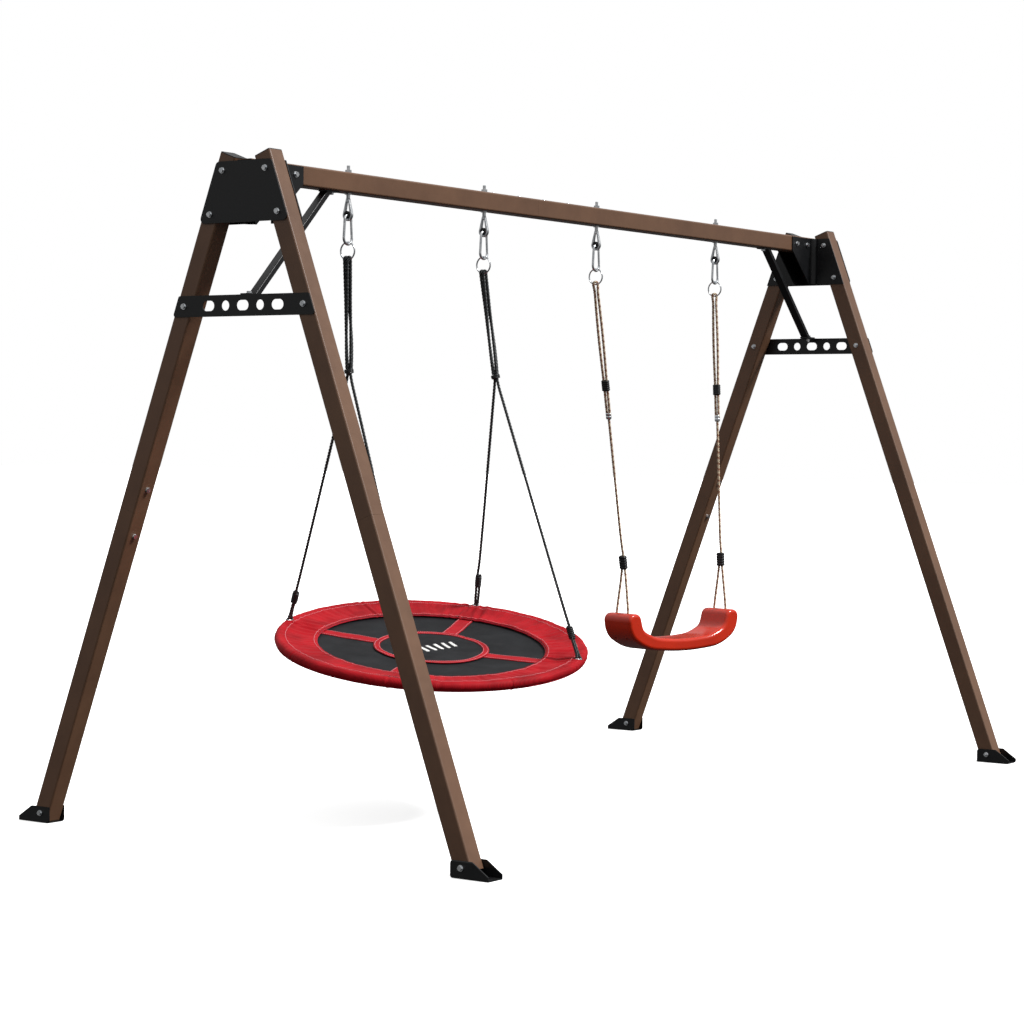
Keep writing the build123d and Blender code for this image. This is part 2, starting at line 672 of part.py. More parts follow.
# ---- carabiners and rings --------------------------------------------------------------
bow_top = pivot_height - carabiner_top
bow_bottom = pivot_height - carabiner_length + carabiner_bottom
bow_slope = math.asin((carabiner_bottom - carabiner_top) / (bow_top - bow_bottom))
nose_length = 6.0
pivot_step = 7.0  # gate pin above the end of the lower bow
tongue_thick = 3.0
slot_gap = 3.4
nose_gap = 0.4
for name, x in hanger_x.items():
    swing, end = name.split("_")
    top_reach = carabiner_top * math.cos(bow_slope)
    top_z = bow_top + carabiner_top * math.sin(bow_slope)
    low_reach = carabiner_bottom * math.cos(bow_slope)
    low_z = bow_bottom + carabiner_bottom * math.sin(bow_slope)
    upper_end = Vector(x + top_reach, 0, top_z)
    lower_end = Vector(x + low_reach, 0, low_z)
    along = (upper_end - lower_end).normalized()
    nose = upper_end - along * nose_length
    pin = lower_end + along * pivot_step
    with BuildPart() as carabiner:
        with BuildLine() as bow:
            Line(nose, upper_end)
            ThreePointArc(upper_end, (x, 0, pivot_height), (x - top_reach, 0, top_z))
            Line((x - top_reach, 0, top_z), (x - low_reach, 0, low_z))
            ThreePointArc((x - low_reach, 0, low_z), (x, 0, bow_bottom - carabiner_bottom), lower_end)
        with BuildSketch(Plane(origin=nose, x_dir=(0, 1, 0), z_dir=along)):
            Circle(wire_size / 2)
        sweep(path=bow.wires()[0])
        tongue_face = Plane(origin=pin + Vector(0, tongue_thick / 2, 0), x_dir=along, z_dir=(0, -1, 0))
        with BuildSketch(tongue_face):
            with Locations((-pivot_step / 2, 0)):
                Rectangle(pivot_step, wire_size - 1)
            Circle(wire_size / 2 - 0.5)
            Circle(gate_pin_hole / 2, mode=Mode.SUBTRACT)
        extrude(amount=tongue_thick)
    save(carabiner.part, f"{name}_carabiner")

    gate_foot = pin - along * (wire_size / 2 - 0.7)
    pin_end = pin + Vector(0, wire_size / 2 - 0.9, 0)
    with BuildPart() as gate:
        with BuildSketch(Plane(origin=gate_foot, x_dir=(0, 1, 0), z_dir=along)):
            Circle(wire_size / 2 - 0.4)
        extrude(amount=(nose - gate_foot).length - nose_gap)
        with BuildSketch(Plane(origin=pin - along * 6, x_dir=(0, 1, 0), z_dir=along)):
            Rectangle(slot_gap, wire_size + 2)
        extrude(amount=6 + wire_size / 2 + 0.8, mode=Mode.SUBTRACT)
        with BuildSketch(Plane(origin=pin_end, x_dir=along, z_dir=(0, -1, 0))):
            Circle(gate_pin / 2)
        extrude(amount=wire_size - 1.8)
    save(gate.part, f"{name}_gate")

ring_height = bow_bottom - carabiner_bottom + wire_size / 2 + ring_wire / 2 + link_clearance - ring_radius
for swing in ("nest", "seat"):
    with BuildPart() as rings:
        for end in ("left", "right"):
            x = hanger_x[f"{swing}_{end}"]
            with BuildSketch(Plane(origin=(x, ring_radius, ring_height), x_dir=(1, 0, 0), z_dir=(0, 0, 1))):
                Circle(ring_wire / 2)
            revolve(axis=Axis((x, 0, ring_height), (1, 0, 0)), revolution_arc=360)
    save(rings.part, f"{swing}_rings")
rope_start = ring_height - ring_radius - ring_wire / 2

# ---- nest: hoop, cover, mat and straps, all on one tilted plane ------------------------
heading = math.radians(nest_tilt_heading)
tilt = math.radians(nest_tilt)
lean_out = math.sin(tilt)
nest_up = Vector(math.cos(heading) * lean_out, math.sin(heading) * lean_out, math.cos(tilt))
nest_along = Vector(1, 0, 0) - nest_up * nest_up.X
nest_plane = Plane(origin=(nest_x, 0, nest_height), x_dir=nest_along, z_dir=nest_up)
spoke = Plane(origin=nest_plane.origin, x_dir=nest_plane.x_dir, z_dir=nest_plane.y_dir * -1)
nest_axis = Axis(nest_plane.origin, nest_plane.z_dir)

with BuildPart() as hoop:
    with BuildSketch(spoke):
        with Locations((hoop_radius, 0)):
            Circle(hoop_tube / 2)
            Circle(hoop_tube / 2 - 1.5, mode=Mode.SUBTRACT)
    revolve(axis=nest_axis, revolution_arc=360)
save(hoop.part, "nest_hoop")

cover_low = -cover_tube * 0.12
band_reach = hoop_radius - cover_inner
band_slope = math.asin(cover_tube / 2 / band_reach) * 0.8
band_touch = (hoop_radius - math.sin(band_slope) * cover_tube / 2, math.cos(band_slope) * cover_tube / 2)
with BuildPart() as cover:
    with BuildSketch(spoke):
        with Locations((hoop_radius, 0)):
            Circle(cover_tube / 2)
        with BuildLine():
            Polyline(
                (cover_inner, cover_low - cover_sheet / 2),
                (cover_inner, cover_low + cover_sheet / 2),
                band_touch,
                (hoop_radius, 0),
                (hoop_radius, cover_low - cover_sheet / 2),
                close=True,
            )
        make_face()
        with Locations((hoop_radius, 0)):
            Circle(hoop_tube / 2 + 0.3, mode=Mode.SUBTRACT)
    revolve(axis=nest_axis, revolution_arc=360)
save(cover.part, "nest_cover")

mat_top = cover_low - cover_sheet / 2 - 0.4
with BuildPart() as mat:
    with BuildSketch(nest_plane.offset(mat_top - mat_thick)):
        Circle(mat_radius)
    extrude(amount=mat_thick)
save(mat.part, "nest_mat")

strap_end = cover_inner - 1.0
with BuildPart() as straps:
    with BuildSketch(nest_plane.offset(mat_top + 0.3)):
        Circle(disc_radius)
        for turn in range(4):
            outwards = Rotation(0, 0, 45 + 90 * turn + nest_turn)
            with Locations(outwards * Location(((disc_radius + strap_end) / 2 - 4, 0, 0))):
                Rectangle(strap_end - disc_radius + 8, strap_width)
    extrude(amount=strap_thick)
save(straps.part, "nest_straps")

# ---- nest: ropes -----------------------------------------------------------------------
rope_step = 0.3
hook_level = cover_tube / 2 + 0.6


def nest_hook(side, row):
    """Point on top of the cover where one rope goes in."""
    shift = front_left_shift if side < 0 and row < 0 else 0.0
    angle = math.radians(nest_turn + shift) + math.atan2(row, side)
    across, along = hoop_radius * math.cos(angle), hoop_radius * math.sin(angle)
    return nest_plane.from_local_coords((across, along, hook_level))


def nest_middle_line(end, height):
    """Middle of one end's ropes at a height: it leans from the ring towards the middle of the two hooks."""
    ring = Vector(hanger_x[f"nest_{end}"], 0, rope_start)
    aim = (nest_hook(sides[end], -1) + nest_hook(sides[end], 1)) * 0.5
    return ring + (aim - ring) * ((rope_start - height) / (rope_start - aim.Z))


bundle_sections = [
    (rope_step, rope_size * 0.75),
    (150, hank_size * 0.38),
    (240, hank_size / 2),
    (rope_start - junction_height, hank_size * 0.42),
]
for end in sides:
    with BuildPart() as hank:
        for drop, radius in bundle_sections:
            middle = nest_middle_line(end, rope_start - drop)
            with BuildSketch(Plane(origin=middle, x_dir=(1, 0, 0), z_dir=(0, 0, 1))):
                Circle(radius)
        loft(ruled=True)
    save(hank.part, f"nest_{end}_rope_hank")

nest_pieces = []
for end, side in sides.items():
    for row_name, row in rows.items():
        hook = nest_hook(side, row)
        apart = hook - nest_hook(side, -row)
        apart = Vector(apart.X, apart.Y, 0).normalized() * (rope_size / 2 + 0.3)
        junction = nest_middle_line(end, junction_height - rope_step) + apart
        pull = (hook - junction).normalized()
        adjuster_low = hook - pull * nest_tail_length
        adjuster_top = adjuster_low - pull * nest_adjuster_length
        with BuildPart() as rope:
            with BuildSketch(Plane(origin=junction, z_dir=pull)):
                Circle(rope_size / 2)
            extrude(amount=(adjuster_top - junction).length)
            split(bisect_by=Plane.XY.offset(junction_height - rope_step - 4), keep=Keep.BOTTOM)
        save(rope.part, f"nest_rope_{end}_{row_name}")
        rope_frame = Plane(origin=adjuster_top, x_dir=Vector(1, 0, 0) - pull * pull.X, z_dir=pull)
        nest_pieces.append(rope_frame)

with BuildPart() as nest_adjusters:
    for rope_frame in nest_pieces:
        with BuildSketch(rope_frame):
            Circle(nest_adjuster_size / 2)
        extrude(amount=nest_adjuster_length)
save(nest_adjusters.part, "nest_rope_adjusters")

with BuildPart() as nest_tails:
    for rope_frame in nest_pieces:
        with BuildSketch(rope_frame.offset(nest_adjuster_length)):
            with Locations((0, -rope_size / 2 - 0.2), (0, rope_size / 2 + 0.2)):
                Circle(rope_size / 2)
        extrude(amount=nest_tail_length - 5)
save(nest_tails.part, "nest_rope_tails")

# ---- swing seat ------------------------------------------------------------------------
half_seat = seat_length / 2
lobe_root = half_seat - lobe_width
seat_side = Plane(origin=(0, seat_depth / 2, seat_bottom), x_dir=(1, 0, 0), z_dir=(0, -1, 0))
seat_place = Location((seat_x, 0, 0), (0, 0, seat_turn))

with BuildPart() as seat:
    with BuildSketch(seat_side):
        right_side = [
            (half_seat - 100, 12),
            (half_seat - 14, 60),
            (half_seat, seat_rise),
            (lobe_root, seat_rise),
            (lobe_root - 18, 82),
            (lobe_root - 82, 54),
        ]
        corner_radii = [220, 80, 26, 26, 40, 200]
        left_side = [(-px, pz) for px, pz in reversed(right_side)]
        outline = [(0, -seat_dip)] + right_side + [(0, seat_mid)] + left_side
        with BuildLine():
            FilletPolyline(*outline, radius=[1200] + corner_radii + [900] + corner_radii[::-1], close=True)
        make_face()
    extrude(amount=seat_depth)
    fillet(seat.edges().filter_by(Plane.XZ), radius=seat_edge)
    with BuildSketch(Plane.XY.offset(seat_bottom)):
        with Locations(*[(sx * rope_hold / 2, sy * rope_pair / 2) for sx in (-1, 1) for sy in (-1, 1)]):
            Circle(rope_size / 2 + 1)
    extrude(amount=seat_rise + 1, mode=Mode.SUBTRACT)
save(seat_place * seat.part, "swing_seat")

# ---- seat ropes ------------------------------------------------------------------------
seat_adjuster_size = (22.0, 20.0, 40.0)
collar_height = 26.0
clamp_length = 50.0
clamp_width = 24.0
upper_ropes = []


def on_seat(x, y, z):
    """Point over the turned seat, from its own middle."""
    turn = math.radians(seat_turn)
    turned_x = x * math.cos(turn) - y * math.sin(turn)
    turned_y = x * math.sin(turn) + y * math.cos(turn)
    return Vector(seat_x + turned_x, turned_y, z)


for end, side in sides.items():
    top = Vector(hanger_x[f"seat_{end}"], 0, rope_start - rope_step)
    low = on_seat(side * rope_hold / 2, 0, clamp_height)
    pull = (low - top).normalized()
    frame_at = Plane(origin=top, x_dir=Vector(0, 1, 0), z_dir=pull)
    upper_ropes.append((end, top, low, pull, frame_at))


def down_rope(top, pull, height):
    """Distance along a rope from its top to the point at the given height."""
    return (height - top.Z) / pull.Z


for end, top, low, pull, frame_at in upper_ropes:
    adjuster_at = down_rope(top, pull, seat_adjuster_height)
    collar_at = down_rope(top, pull, sleeve_height)
    clamp_at = down_rope(top, pull, clamp_height) - clamp_length / 2
    with BuildPart() as rope:
        for strand in (-1, 1):
            with BuildSketch(frame_at):
                with Locations((strand * twin_gap / 2, 0)):
                    Circle(rope_size / 2)
            extrude(amount=adjuster_at - seat_adjuster_size[2] / 2)
            with BuildSketch(frame_at.offset(adjuster_at + seat_adjuster_size[2] / 2)):
                with Locations((strand * twin_gap / 2, 0)):
                    Circle(rope_size / 2)
            extrude(amount=collar_at - adjuster_at - (collar_height + seat_adjuster_size[2]) / 2)
        with BuildSketch(frame_at.offset(collar_at + collar_height / 2)):
            Circle(rope_size / 2)
        extrude(amount=clamp_at - collar_at - collar_height / 2)
    save(rope.part, f"seat_rope_{end}")

with BuildPart() as returns:
    for end, top, low, pull, frame_at in upper_ropes:
        clamp_at = down_rope(top, pull, clamp_height)
        start = top + pull * (clamp_at + clamp_length / 2 + 1.2)
        for row in rows.values():
            hole = on_seat(sides[end] * rope_hold / 2, row * rope_pair / 2, seat_bottom + seat_rise + 1.5)
            leave = start + Vector(0, row * twin_gap / 2, 0)
            run = hole - leave
            with BuildSketch(Plane(origin=leave, z_dir=run.normalized())):
                Circle(rope_size / 2 - 0.5)
            extrude(amount=run.length)
    split(bisect_by=Plane.XY.offset(seat_bottom + seat_rise + 1), keep=Keep.TOP)
save(returns.part, "seat_rope_tails")

with BuildPart() as seat_adjusters:
    for end, top, low, pull, frame_at in upper_ropes:
        adjuster_at = down_rope(top, pull, seat_adjuster_height)
        collar_at = down_rope(top, pull, sleeve_height)
        with BuildSketch(frame_at.offset(adjuster_at - seat_adjuster_size[2] / 2)):
            RectangleRounded(seat_adjuster_size[1] + 4, seat_adjuster_size[0], 4)
        extrude(amount=seat_adjuster_size[2])
        with BuildSketch(frame_at.offset(collar_at - collar_height / 2)):
            SlotOverall(twin_gap + rope_size + 3, rope_size + 3)
        extrude(amount=collar_height)
        clamp_at = down_rope(top, pull, clamp_height)
        with BuildSketch(frame_at.offset(clamp_at - clamp_length / 2)):
            RectangleRounded(clamp_width + 4, clamp_width - 2, 5)
        extrude(amount=clamp_length)
save(seat_adjusters.part, "seat_rope_adjusters")

print("parts written:", len(parts_made))
print("pivot", pivot_height, "ring centre", round(ring_height, 2), "rope start", round(rope_start, 2))
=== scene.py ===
"""Garden swing set: finishes, soft pieces, ropes, light and camera, laid over the CAD frame.

Metres. +Z is up, +X runs along the beam and -Y is the front, as in the CAD.
"""
import logging
import math
from dataclasses import dataclass, field
from enum import Enum
from typing import Callable, Sequence

import bpy
import numpy as np
from mathutils import Matrix, Vector, noise


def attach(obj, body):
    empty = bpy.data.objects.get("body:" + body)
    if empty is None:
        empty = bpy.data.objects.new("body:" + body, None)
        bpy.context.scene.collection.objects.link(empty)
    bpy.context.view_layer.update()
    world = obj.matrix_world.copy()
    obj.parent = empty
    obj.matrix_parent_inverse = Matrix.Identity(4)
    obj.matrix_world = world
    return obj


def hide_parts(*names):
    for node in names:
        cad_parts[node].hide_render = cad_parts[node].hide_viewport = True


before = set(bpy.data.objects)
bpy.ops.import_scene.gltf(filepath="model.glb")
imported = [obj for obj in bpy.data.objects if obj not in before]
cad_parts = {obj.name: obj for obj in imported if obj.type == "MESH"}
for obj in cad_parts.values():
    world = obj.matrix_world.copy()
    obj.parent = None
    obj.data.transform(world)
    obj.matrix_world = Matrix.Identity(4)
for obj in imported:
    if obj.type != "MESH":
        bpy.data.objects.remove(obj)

log = logging.getLogger("swing_set")
STITCHES = 120  # points along a ring of stitches
UNDER_ANGLE = math.radians(52)  # how far below level the red outside of the roll ends


# ---------------------------------------------------------------------------- colour and nodes
def linear(hex_colour: str) -> tuple[float, float, float, float]:
    """Turn an sRGB hex colour into linear RGBA.

    Args:
        hex_colour: six hex digits after a hash sign.

    Returns:
        Linear red, green, blue and an alpha of one.
    """
    parts = [int(hex_colour[i : i + 2], 16) / 255 for i in (1, 3, 5)]
    r, g, b = [c / 12.92 if c <= 0.04045 else ((c + 0.055) / 1.055) ** 2.4 for c in parts]
    return (r, g, b, 1.0)


def add_node(
    tree: bpy.types.NodeTree,
    kind: str,
    settings: dict[str, object] | None = None,
    inputs: dict[str | int, object] | None = None,
) -> bpy.types.Node:
    """Add one shader node with its settings, values and links.

    Args:
        tree: the tree that the node joins.
        kind: Blender's node type.
        settings: properties of the node itself.
        inputs: socket name or index to a value, or to the output socket linked to it.

    Returns:
        The new node.
    """
    made = tree.nodes.new(kind)
    for name, value in (settings or {}).items():
        setattr(made, name, value)
    for name, value in (inputs or {}).items():
        if isinstance(value, bpy.types.NodeSocket):
            tree.links.new(value, made.inputs[name])
        else:
            made.inputs[name].default_value = value
    return made


def start_material(name: str) -> tuple[bpy.types.Material, bpy.types.NodeTree, bpy.types.Node]:
    """Make an empty node material with one Principled shader.

    Args:
        name: the material's name.

    Returns:
        The material, its tree and the Principled node, already linked to the output.
    """
    material = bpy.data.materials.new(name)
    material.use_nodes = True
    tree = material.node_tree
    tree.nodes.clear()
    shader = add_node(tree, "ShaderNodeBsdfPrincipled")
    add_node(tree, "ShaderNodeOutputMaterial", inputs={"Surface": shader.outputs["BSDF"]})
    return material, tree, shader


def colour_between(
    tree: bpy.types.NodeTree,
    factor: bpy.types.NodeSocket,
    low: str,
    high: str,
    start: float = 0.0,
    stop: float = 1.0,
) -> bpy.types.NodeSocket:
    """Blend two sRGB colours by a factor that runs from start to stop.

    Args:
        tree: the material's tree.
        factor: the socket that chooses.
        low: colour at start, in hex.
        high: colour at stop, in hex.
        start: factor value that gives the low colour.
        stop: factor value that gives the high colour.

    Returns:
        The colour socket.
    """
    ramp = add_node(tree, "ShaderNodeValToRGB", inputs={"Fac": factor})
    first, last = ramp.color_ramp.elements
    first.position, first.color = start, linear(low)
    last.position, last.color = stop, linear(high)
    return ramp.outputs["Color"]


def spread_value(
    tree: bpy.types.NodeTree, factor: bpy.types.NodeSocket, low: float, high: float
) -> bpy.types.NodeSocket:
    """Map a 0 to 1 factor onto low to high, and give the result's socket."""
    made = add_node(tree, "ShaderNodeMapRange", inputs={"Value": factor, "To Min": low, "To Max": high})
    return made.outputs["Result"]


def cloud(
    tree: bpy.types.NodeTree, size_mm: float, detail: float = 2.0, stretch: Vector | None = None
) -> bpy.types.NodeSocket:
    """Noise in the object's own coordinates whose blobs are about size_mm across.

    Args:
        tree: the material's tree.
        size_mm: usual width of a blob, in millimetres.
        detail: octaves of finer noise.
        stretch: how much the pattern is compressed along each axis, or None.

    Returns:
        The noise's factor socket.
    """
    place = add_node(tree, "ShaderNodeTexCoord").outputs["Object"]
    if stretch is not None:
        place = add_node(
            tree, "ShaderNodeMapping", inputs={"Vector": place, "Scale": tuple(stretch)}
        ).outputs["Vector"]
    scale = 1000.0 / (2.2 * size_mm)
    made = add_node(
        tree, "ShaderNodeTexNoise", inputs={"Vector": place, "Scale": scale, "Detail": detail}
    )
    return made.outputs["Fac"]


def raise_surface(
    tree: bpy.types.NodeTree,
    shader: bpy.types.Node,
    height: bpy.types.NodeSocket,
    depth_mm: float,
    strength: float = 1.0,
) -> None:
    """Link a height to the shader's normal.

    Args:
        tree: the material's tree.
        shader: the Principled node.
        height: height socket, from 0 to 1.
        depth_mm: how far 1 stands above 0, in millimetres.
        strength: share of the bump that shows.
    """
    bump = add_node(
        tree, "ShaderNodeBump", inputs={"Height": height, "Distance": depth_mm / 1000, "Strength": strength}
    )
    tree.links.new(bump.outputs["Normal"], shader.inputs["Normal"])


# ---------------------------------------------------------------------------- finishes
@dataclass(frozen=True)
class PowderCoatedSteel:
    """Mild steel tube or sheet with a baked polyester powder coat.

    To the eye: satin, with fine orange peel, a little cloudiness and soft wide highlights.
    """

    name: str
    colour: str
    deep: str
    roughness: float = 0.42
    peel_mm: float = 2.6  # real orange peel is about 1 mm; drawn coarser so that it shows
    peel_depth_mm: float = 0.05

    def build(self) -> bpy.types.Material:
        """Return the finished material."""
        material, tree, shader = start_material(self.name)
        haze = cloud(tree, 90.0, 4.0)
        peel = cloud(tree, self.peel_mm, 3.0)
        dust = cloud(tree, 14.0, 5.0)
        shade = add_node(
            tree, "ShaderNodeMath", {"operation": "MULTIPLY_ADD"}, {0: dust, 1: 0.35, 2: haze}
        ).outputs[0]
        tone = colour_between(tree, shade, self.deep, self.colour, 0.42, 0.88)
        tree.links.new(tone, shader.inputs["Base Color"])
        tree.links.new(
            spread_value(tree, dust, self.roughness - 0.07, self.roughness + 0.09), shader.inputs["Roughness"]
        )
        shader.inputs["IOR"].default_value = 1.5
        raise_surface(tree, shader, peel, self.peel_depth_mm, 0.8)
        return material


@dataclass(frozen=True)
class ZincPlatedSteel:
    """Bright zinc-plated steel of bolts, eye bolts, carabiners and rings.

    To the eye: cool grey metal, blotched between bright and dull, with faint drawn marks.
    """

    name: str = "zinc plated steel"
    bright: str = "#f7f9fb"
    dull: str = "#c3c9ce"
    roughness: float = 0.3

    def build(self) -> bpy.types.Material:
        """Return the finished material."""
        material, tree, shader = start_material(self.name)
        blotch = cloud(tree, 6.0, 4.0)
        drawn = cloud(tree, 1.2, 2.0, Vector((1.0, 1.0, 0.15)))
        tone = colour_between(tree, blotch, self.dull, self.bright, 0.28, 0.62)
        tree.links.new(tone, shader.inputs["Base Color"])
        tree.links.new(
            spread_value(tree, blotch, self.roughness + 0.12, self.roughness - 0.08), shader.inputs["Roughness"]
        )
        shader.inputs["Metallic"].default_value = 1.0
        raise_surface(tree, shader, drawn, 0.03, 0.6)
        return material


@dataclass(frozen=True)
class MouldedNylon:
    """Black moulded polyamide of the bushes, caps, adjusters and clamps.

    To the eye: dark, satin, finely spark-eroded, a little paler where handled.
    """

    name: str
    colour: str = "#17181a"
    worn: str = "#2b2d30"
    roughness: float = 0.45
    grain_mm: float = 1.4  # a spark-eroded grain is about 0.3 mm; drawn coarser so that it shows

    def build(self) -> bpy.types.Material:
        """Return the finished material."""
        material, tree, shader = start_material(self.name)
        grain = cloud(tree, self.grain_mm, 2.0)
        handled = cloud(tree, 12.0, 3.0)
        tone = colour_between(tree, handled, self.colour, self.worn, 0.45, 0.8)
        tree.links.new(tone, shader.inputs["Base Color"])
        dullness = spread_value(tree, handled, self.roughness - 0.08, self.roughness + 0.12)
        tree.links.new(dullness, shader.inputs["Roughness"])
        shader.inputs["IOR"].default_value = 1.53
        raise_surface(tree, shader, grain, 0.06, 0.7)
        return material


@dataclass(frozen=True)
class GlossPolyethylene:
    """Blow-moulded high-density polyethylene of the swing seat.

    To the eye: saturated, waxy gloss, gently uneven where the skin cooled, with fine scuffs.
    """

    name: str = "moulded red polyethylene"
    colour: str = "#cb2a08"
    deep: str = "#b92306"
    roughness: float = 0.2

    def build(self) -> bpy.types.Material:
        """Return the finished material."""
        material, tree, shader = start_material(self.name)
        skin = cloud(tree, 70.0, 1.0)
        scuff = cloud(tree, 9.0, 3.0, Vector((0.35, 1.0, 1.0)))
        tone = colour_between(tree, skin, self.deep, self.colour, 0.2, 0.6)
        tree.links.new(tone, shader.inputs["Base Color"])
        tree.links.new(
            spread_value(tree, scuff, self.roughness - 0.05, self.roughness + 0.08), shader.inputs["Roughness"]
        )
        shader.inputs["IOR"].default_value = 1.54
        shader.inputs["Coat Weight"].default_value = 0.12
        shader.inputs["Coat Roughness"].default_value = 0.12
        shader.inputs["Subsurface Weight"].default_value = 0.06
        shader.inputs["Subsurface Radius"].default_value = (0.012, 0.003, 0.002)
        raise_surface(tree, shader, skin, 0.4, 0.3)
        return material


class Weave(Enum):
    """How a cloth is woven: the threads each way over ten millimetres, as drawn."""

    OXFORD = (4.0, 4.0)
    WEBBING = (2.2, 6.0)


@dataclass(frozen=True)
class WovenPolyester:
    """Coated woven polyester: Oxford cloth of the cover and mat, or heavy webbing.

    To the eye: a fine square weave, a soft sheen at glancing angles and uneven colour: random fading, plus painted
    shade that darkens the troughs of the creases.
    Real threads are 0.4 to 0.6 mm apart; they are drawn two to four times coarser so that they show.
    """

    name: str
    colour: str
    deep: str
    weave: Weave = Weave.OXFORD
    roughness: float = 0.62
    sheen: float = 0.25
    gloss: float = 0.14  # loose threads scatter most of the mirror reflection
    sheen_tint: str = "#ffffff"

    def build(self) -> bpy.types.Material:
        """Return the finished material."""
        material, tree, shader = start_material(self.name)
        across, along = self.weave.value
        place = add_node(tree, "ShaderNodeTexCoord").outputs["Object"]
        threads = [
            add_node(
                tree,
                "ShaderNodeTexWave",
                {"bands_direction": axis},
                {"Vector": place, "Scale": 100 * count / 6.2832, "Distortion": 0.6, "Detail": 1.0},
            ).outputs["Fac"]
            for axis, count in (("X", across), ("Y", along))
        ]
        joined = {"operation": "MULTIPLY_ADD"}
        weave = add_node(
            tree, "ShaderNodeMath", {"operation": "MULTIPLY"}, {0: threads[0], 1: threads[1]}
        ).outputs[0]
        # the crease noise raises the cloth and also lightens its colour, so the troughs of the creases carry
        # painted shade
        crease = cloud(tree, 38.0, 5.0)
        fade = cloud(tree, 160.0, 3.0)
        mixed = add_node(tree, "ShaderNodeMath", joined, {0: weave, 1: 0.3, 2: crease}).outputs[0]
        shade = add_node(tree, "ShaderNodeMath", joined, {0: fade, 1: 0.4, 2: mixed}).outputs[0]
        tone = colour_between(tree, shade, self.deep, self.colour, 0.45, 0.95)
        tree.links.new(tone, shader.inputs["Base Color"])
        tree.links.new(
            spread_value(tree, crease, self.roughness + 0.1, self.roughness - 0.1), shader.inputs["Roughness"]
        )
        shader.inputs["IOR"].default_value = 1.48
        shader.inputs["Specular IOR Level"].default_value = self.gloss
        shader.inputs["Sheen Weight"].default_value = self.sheen
        shader.inputs["Sheen Roughness"].default_value = 0.4
        shader.inputs["Sheen Tint"].default_value = linear(self.sheen_tint)
        lift = add_node(tree, "ShaderNodeMath", joined, {0: crease, 1: 2.5, 2: weave}).outputs[0]
        raise_surface(tree, shader, lift, 0.35, 0.7)
        return material


@dataclass(frozen=True)
class TwistedRope:
    """Twisted polyethylene rope with a spiral stripe coloured into every strand.

    To the eye: hard, faintly glossy strands with fine fibres. On the beige rope the stripe is a tracer yarn that
    shows as regular flecks; on the black rope it is a painted highlight, a paler grey streak that spirals round
    each strand.
    """

    name: str
    colour: str
    deep: str
    # colour of the spiral stripe: a tracer yarn on the beige rope, a painted highlight on the black rope
    tracer_and_highlight: str
    stripe_from: float = 0.35
    roughness: float = 0.5

    def build(self) -> bpy.types.Material:
        """Return the finished material."""
        material, tree, shader = start_material(self.name)
        stripe_spiral = add_node(tree, "ShaderNodeAttribute", {"attribute_name": "stripe_spiral"}).outputs["Fac"]
        fibre = cloud(tree, 1.1, 3.0)
        worn = cloud(tree, 18.0, 3.0)
        body = colour_between(tree, fibre, self.deep, self.colour, 0.3, 0.65)
        # mask of the spiral stripe; on the black rope it paints a highlight streak onto each strand
        chosen = add_node(
            tree,
            "ShaderNodeMapRange",
            inputs={"Value": stripe_spiral, "From Min": self.stripe_from, "From Max": self.stripe_from + 0.2},
        ).outputs["Result"]
        mixed = add_node(
            tree,
            "ShaderNodeMix",
            {"data_type": "RGBA"},
            {0: chosen, 6: body, 7: linear(self.tracer_and_highlight)},
        ).outputs[2]
        tree.links.new(mixed, shader.inputs["Base Color"])
        tree.links.new(
            spread_value(tree, worn, self.roughness - 0.1, self.roughness + 0.15), shader.inputs["Roughness"]
        )
        shader.inputs["IOR"].default_value = 1.5
        shader.inputs["Sheen Weight"].default_value = 0.15
        raise_surface(tree, shader, fibre, 0.15, 0.8)
        return material


class Finish(Enum):
    """Every finish on the set, by what it is made of."""

    BROWN_COAT = PowderCoatedSteel("brown powder coated steel", "#70513c", "#624634", 0.4)
    BLACK_COAT = PowderCoatedSteel("black powder coated steel", "#0f1013", "#090a0c", 0.38)
    ZINC = ZincPlatedSteel()
    NYLON = MouldedNylon("black moulded nylon")
    FITTING = MouldedNylon("ribbed black nylon", "#101113", "#26282b", 0.5)
    SEAT = GlossPolyethylene()
    RED_OXFORD = WovenPolyester(
        "red coated Oxford cloth", "#b5101d", "#7c0610", sheen=0.02, sheen_tint="#ff6a6a"
    )
    BLACK_OXFORD = WovenPolyester("black coated Oxford cloth", "#1b1d20", "#0d0e10", sheen=0.02)
    RED_WEBBING = WovenPolyester("red polyester webbing", "#b81422", "#860b15", Weave.WEBBING, 0.7, 0.03)
    PIPING = WovenPolyester("red bias piping", "#b51a2b", "#8a0e1c", Weave.WEBBING, 0.6, 0.05)
    THREAD = TwistedRope("pink sewing thread", "#e58c93", "#c2606a", "#e58c93", 2.0, 0.6)
    PRINT = MouldedNylon("white screen print", "#e9e9e6", "#d2d2cf", 0.6)
    # its paler grey stripe is a painted highlight spiralling round each strand, not a tracer yarn
    BLACK_ROPE = TwistedRope("black twisted rope", "#1b1f21", "#0b0d0e", "#343b3e", 0.72, 0.42)
    BEIGE_ROPE = TwistedRope("beige twisted rope", "#dccbb0", "#c2a98a", "#8a4f2c", 0.3, 0.5)


class Palette:
    """Builds each finish once and hands it out."""

    def __init__(self) -> None:
        """Start with nothing built."""
        self.built: dict[Finish, bpy.types.Material] = {}

    def get(self, finish: Finish) -> bpy.types.Material:
        """Return the material of a finish, building it the first time."""
        if finish not in self.built:
            self.built[finish] = finish.value.build()
        return self.built[finish]


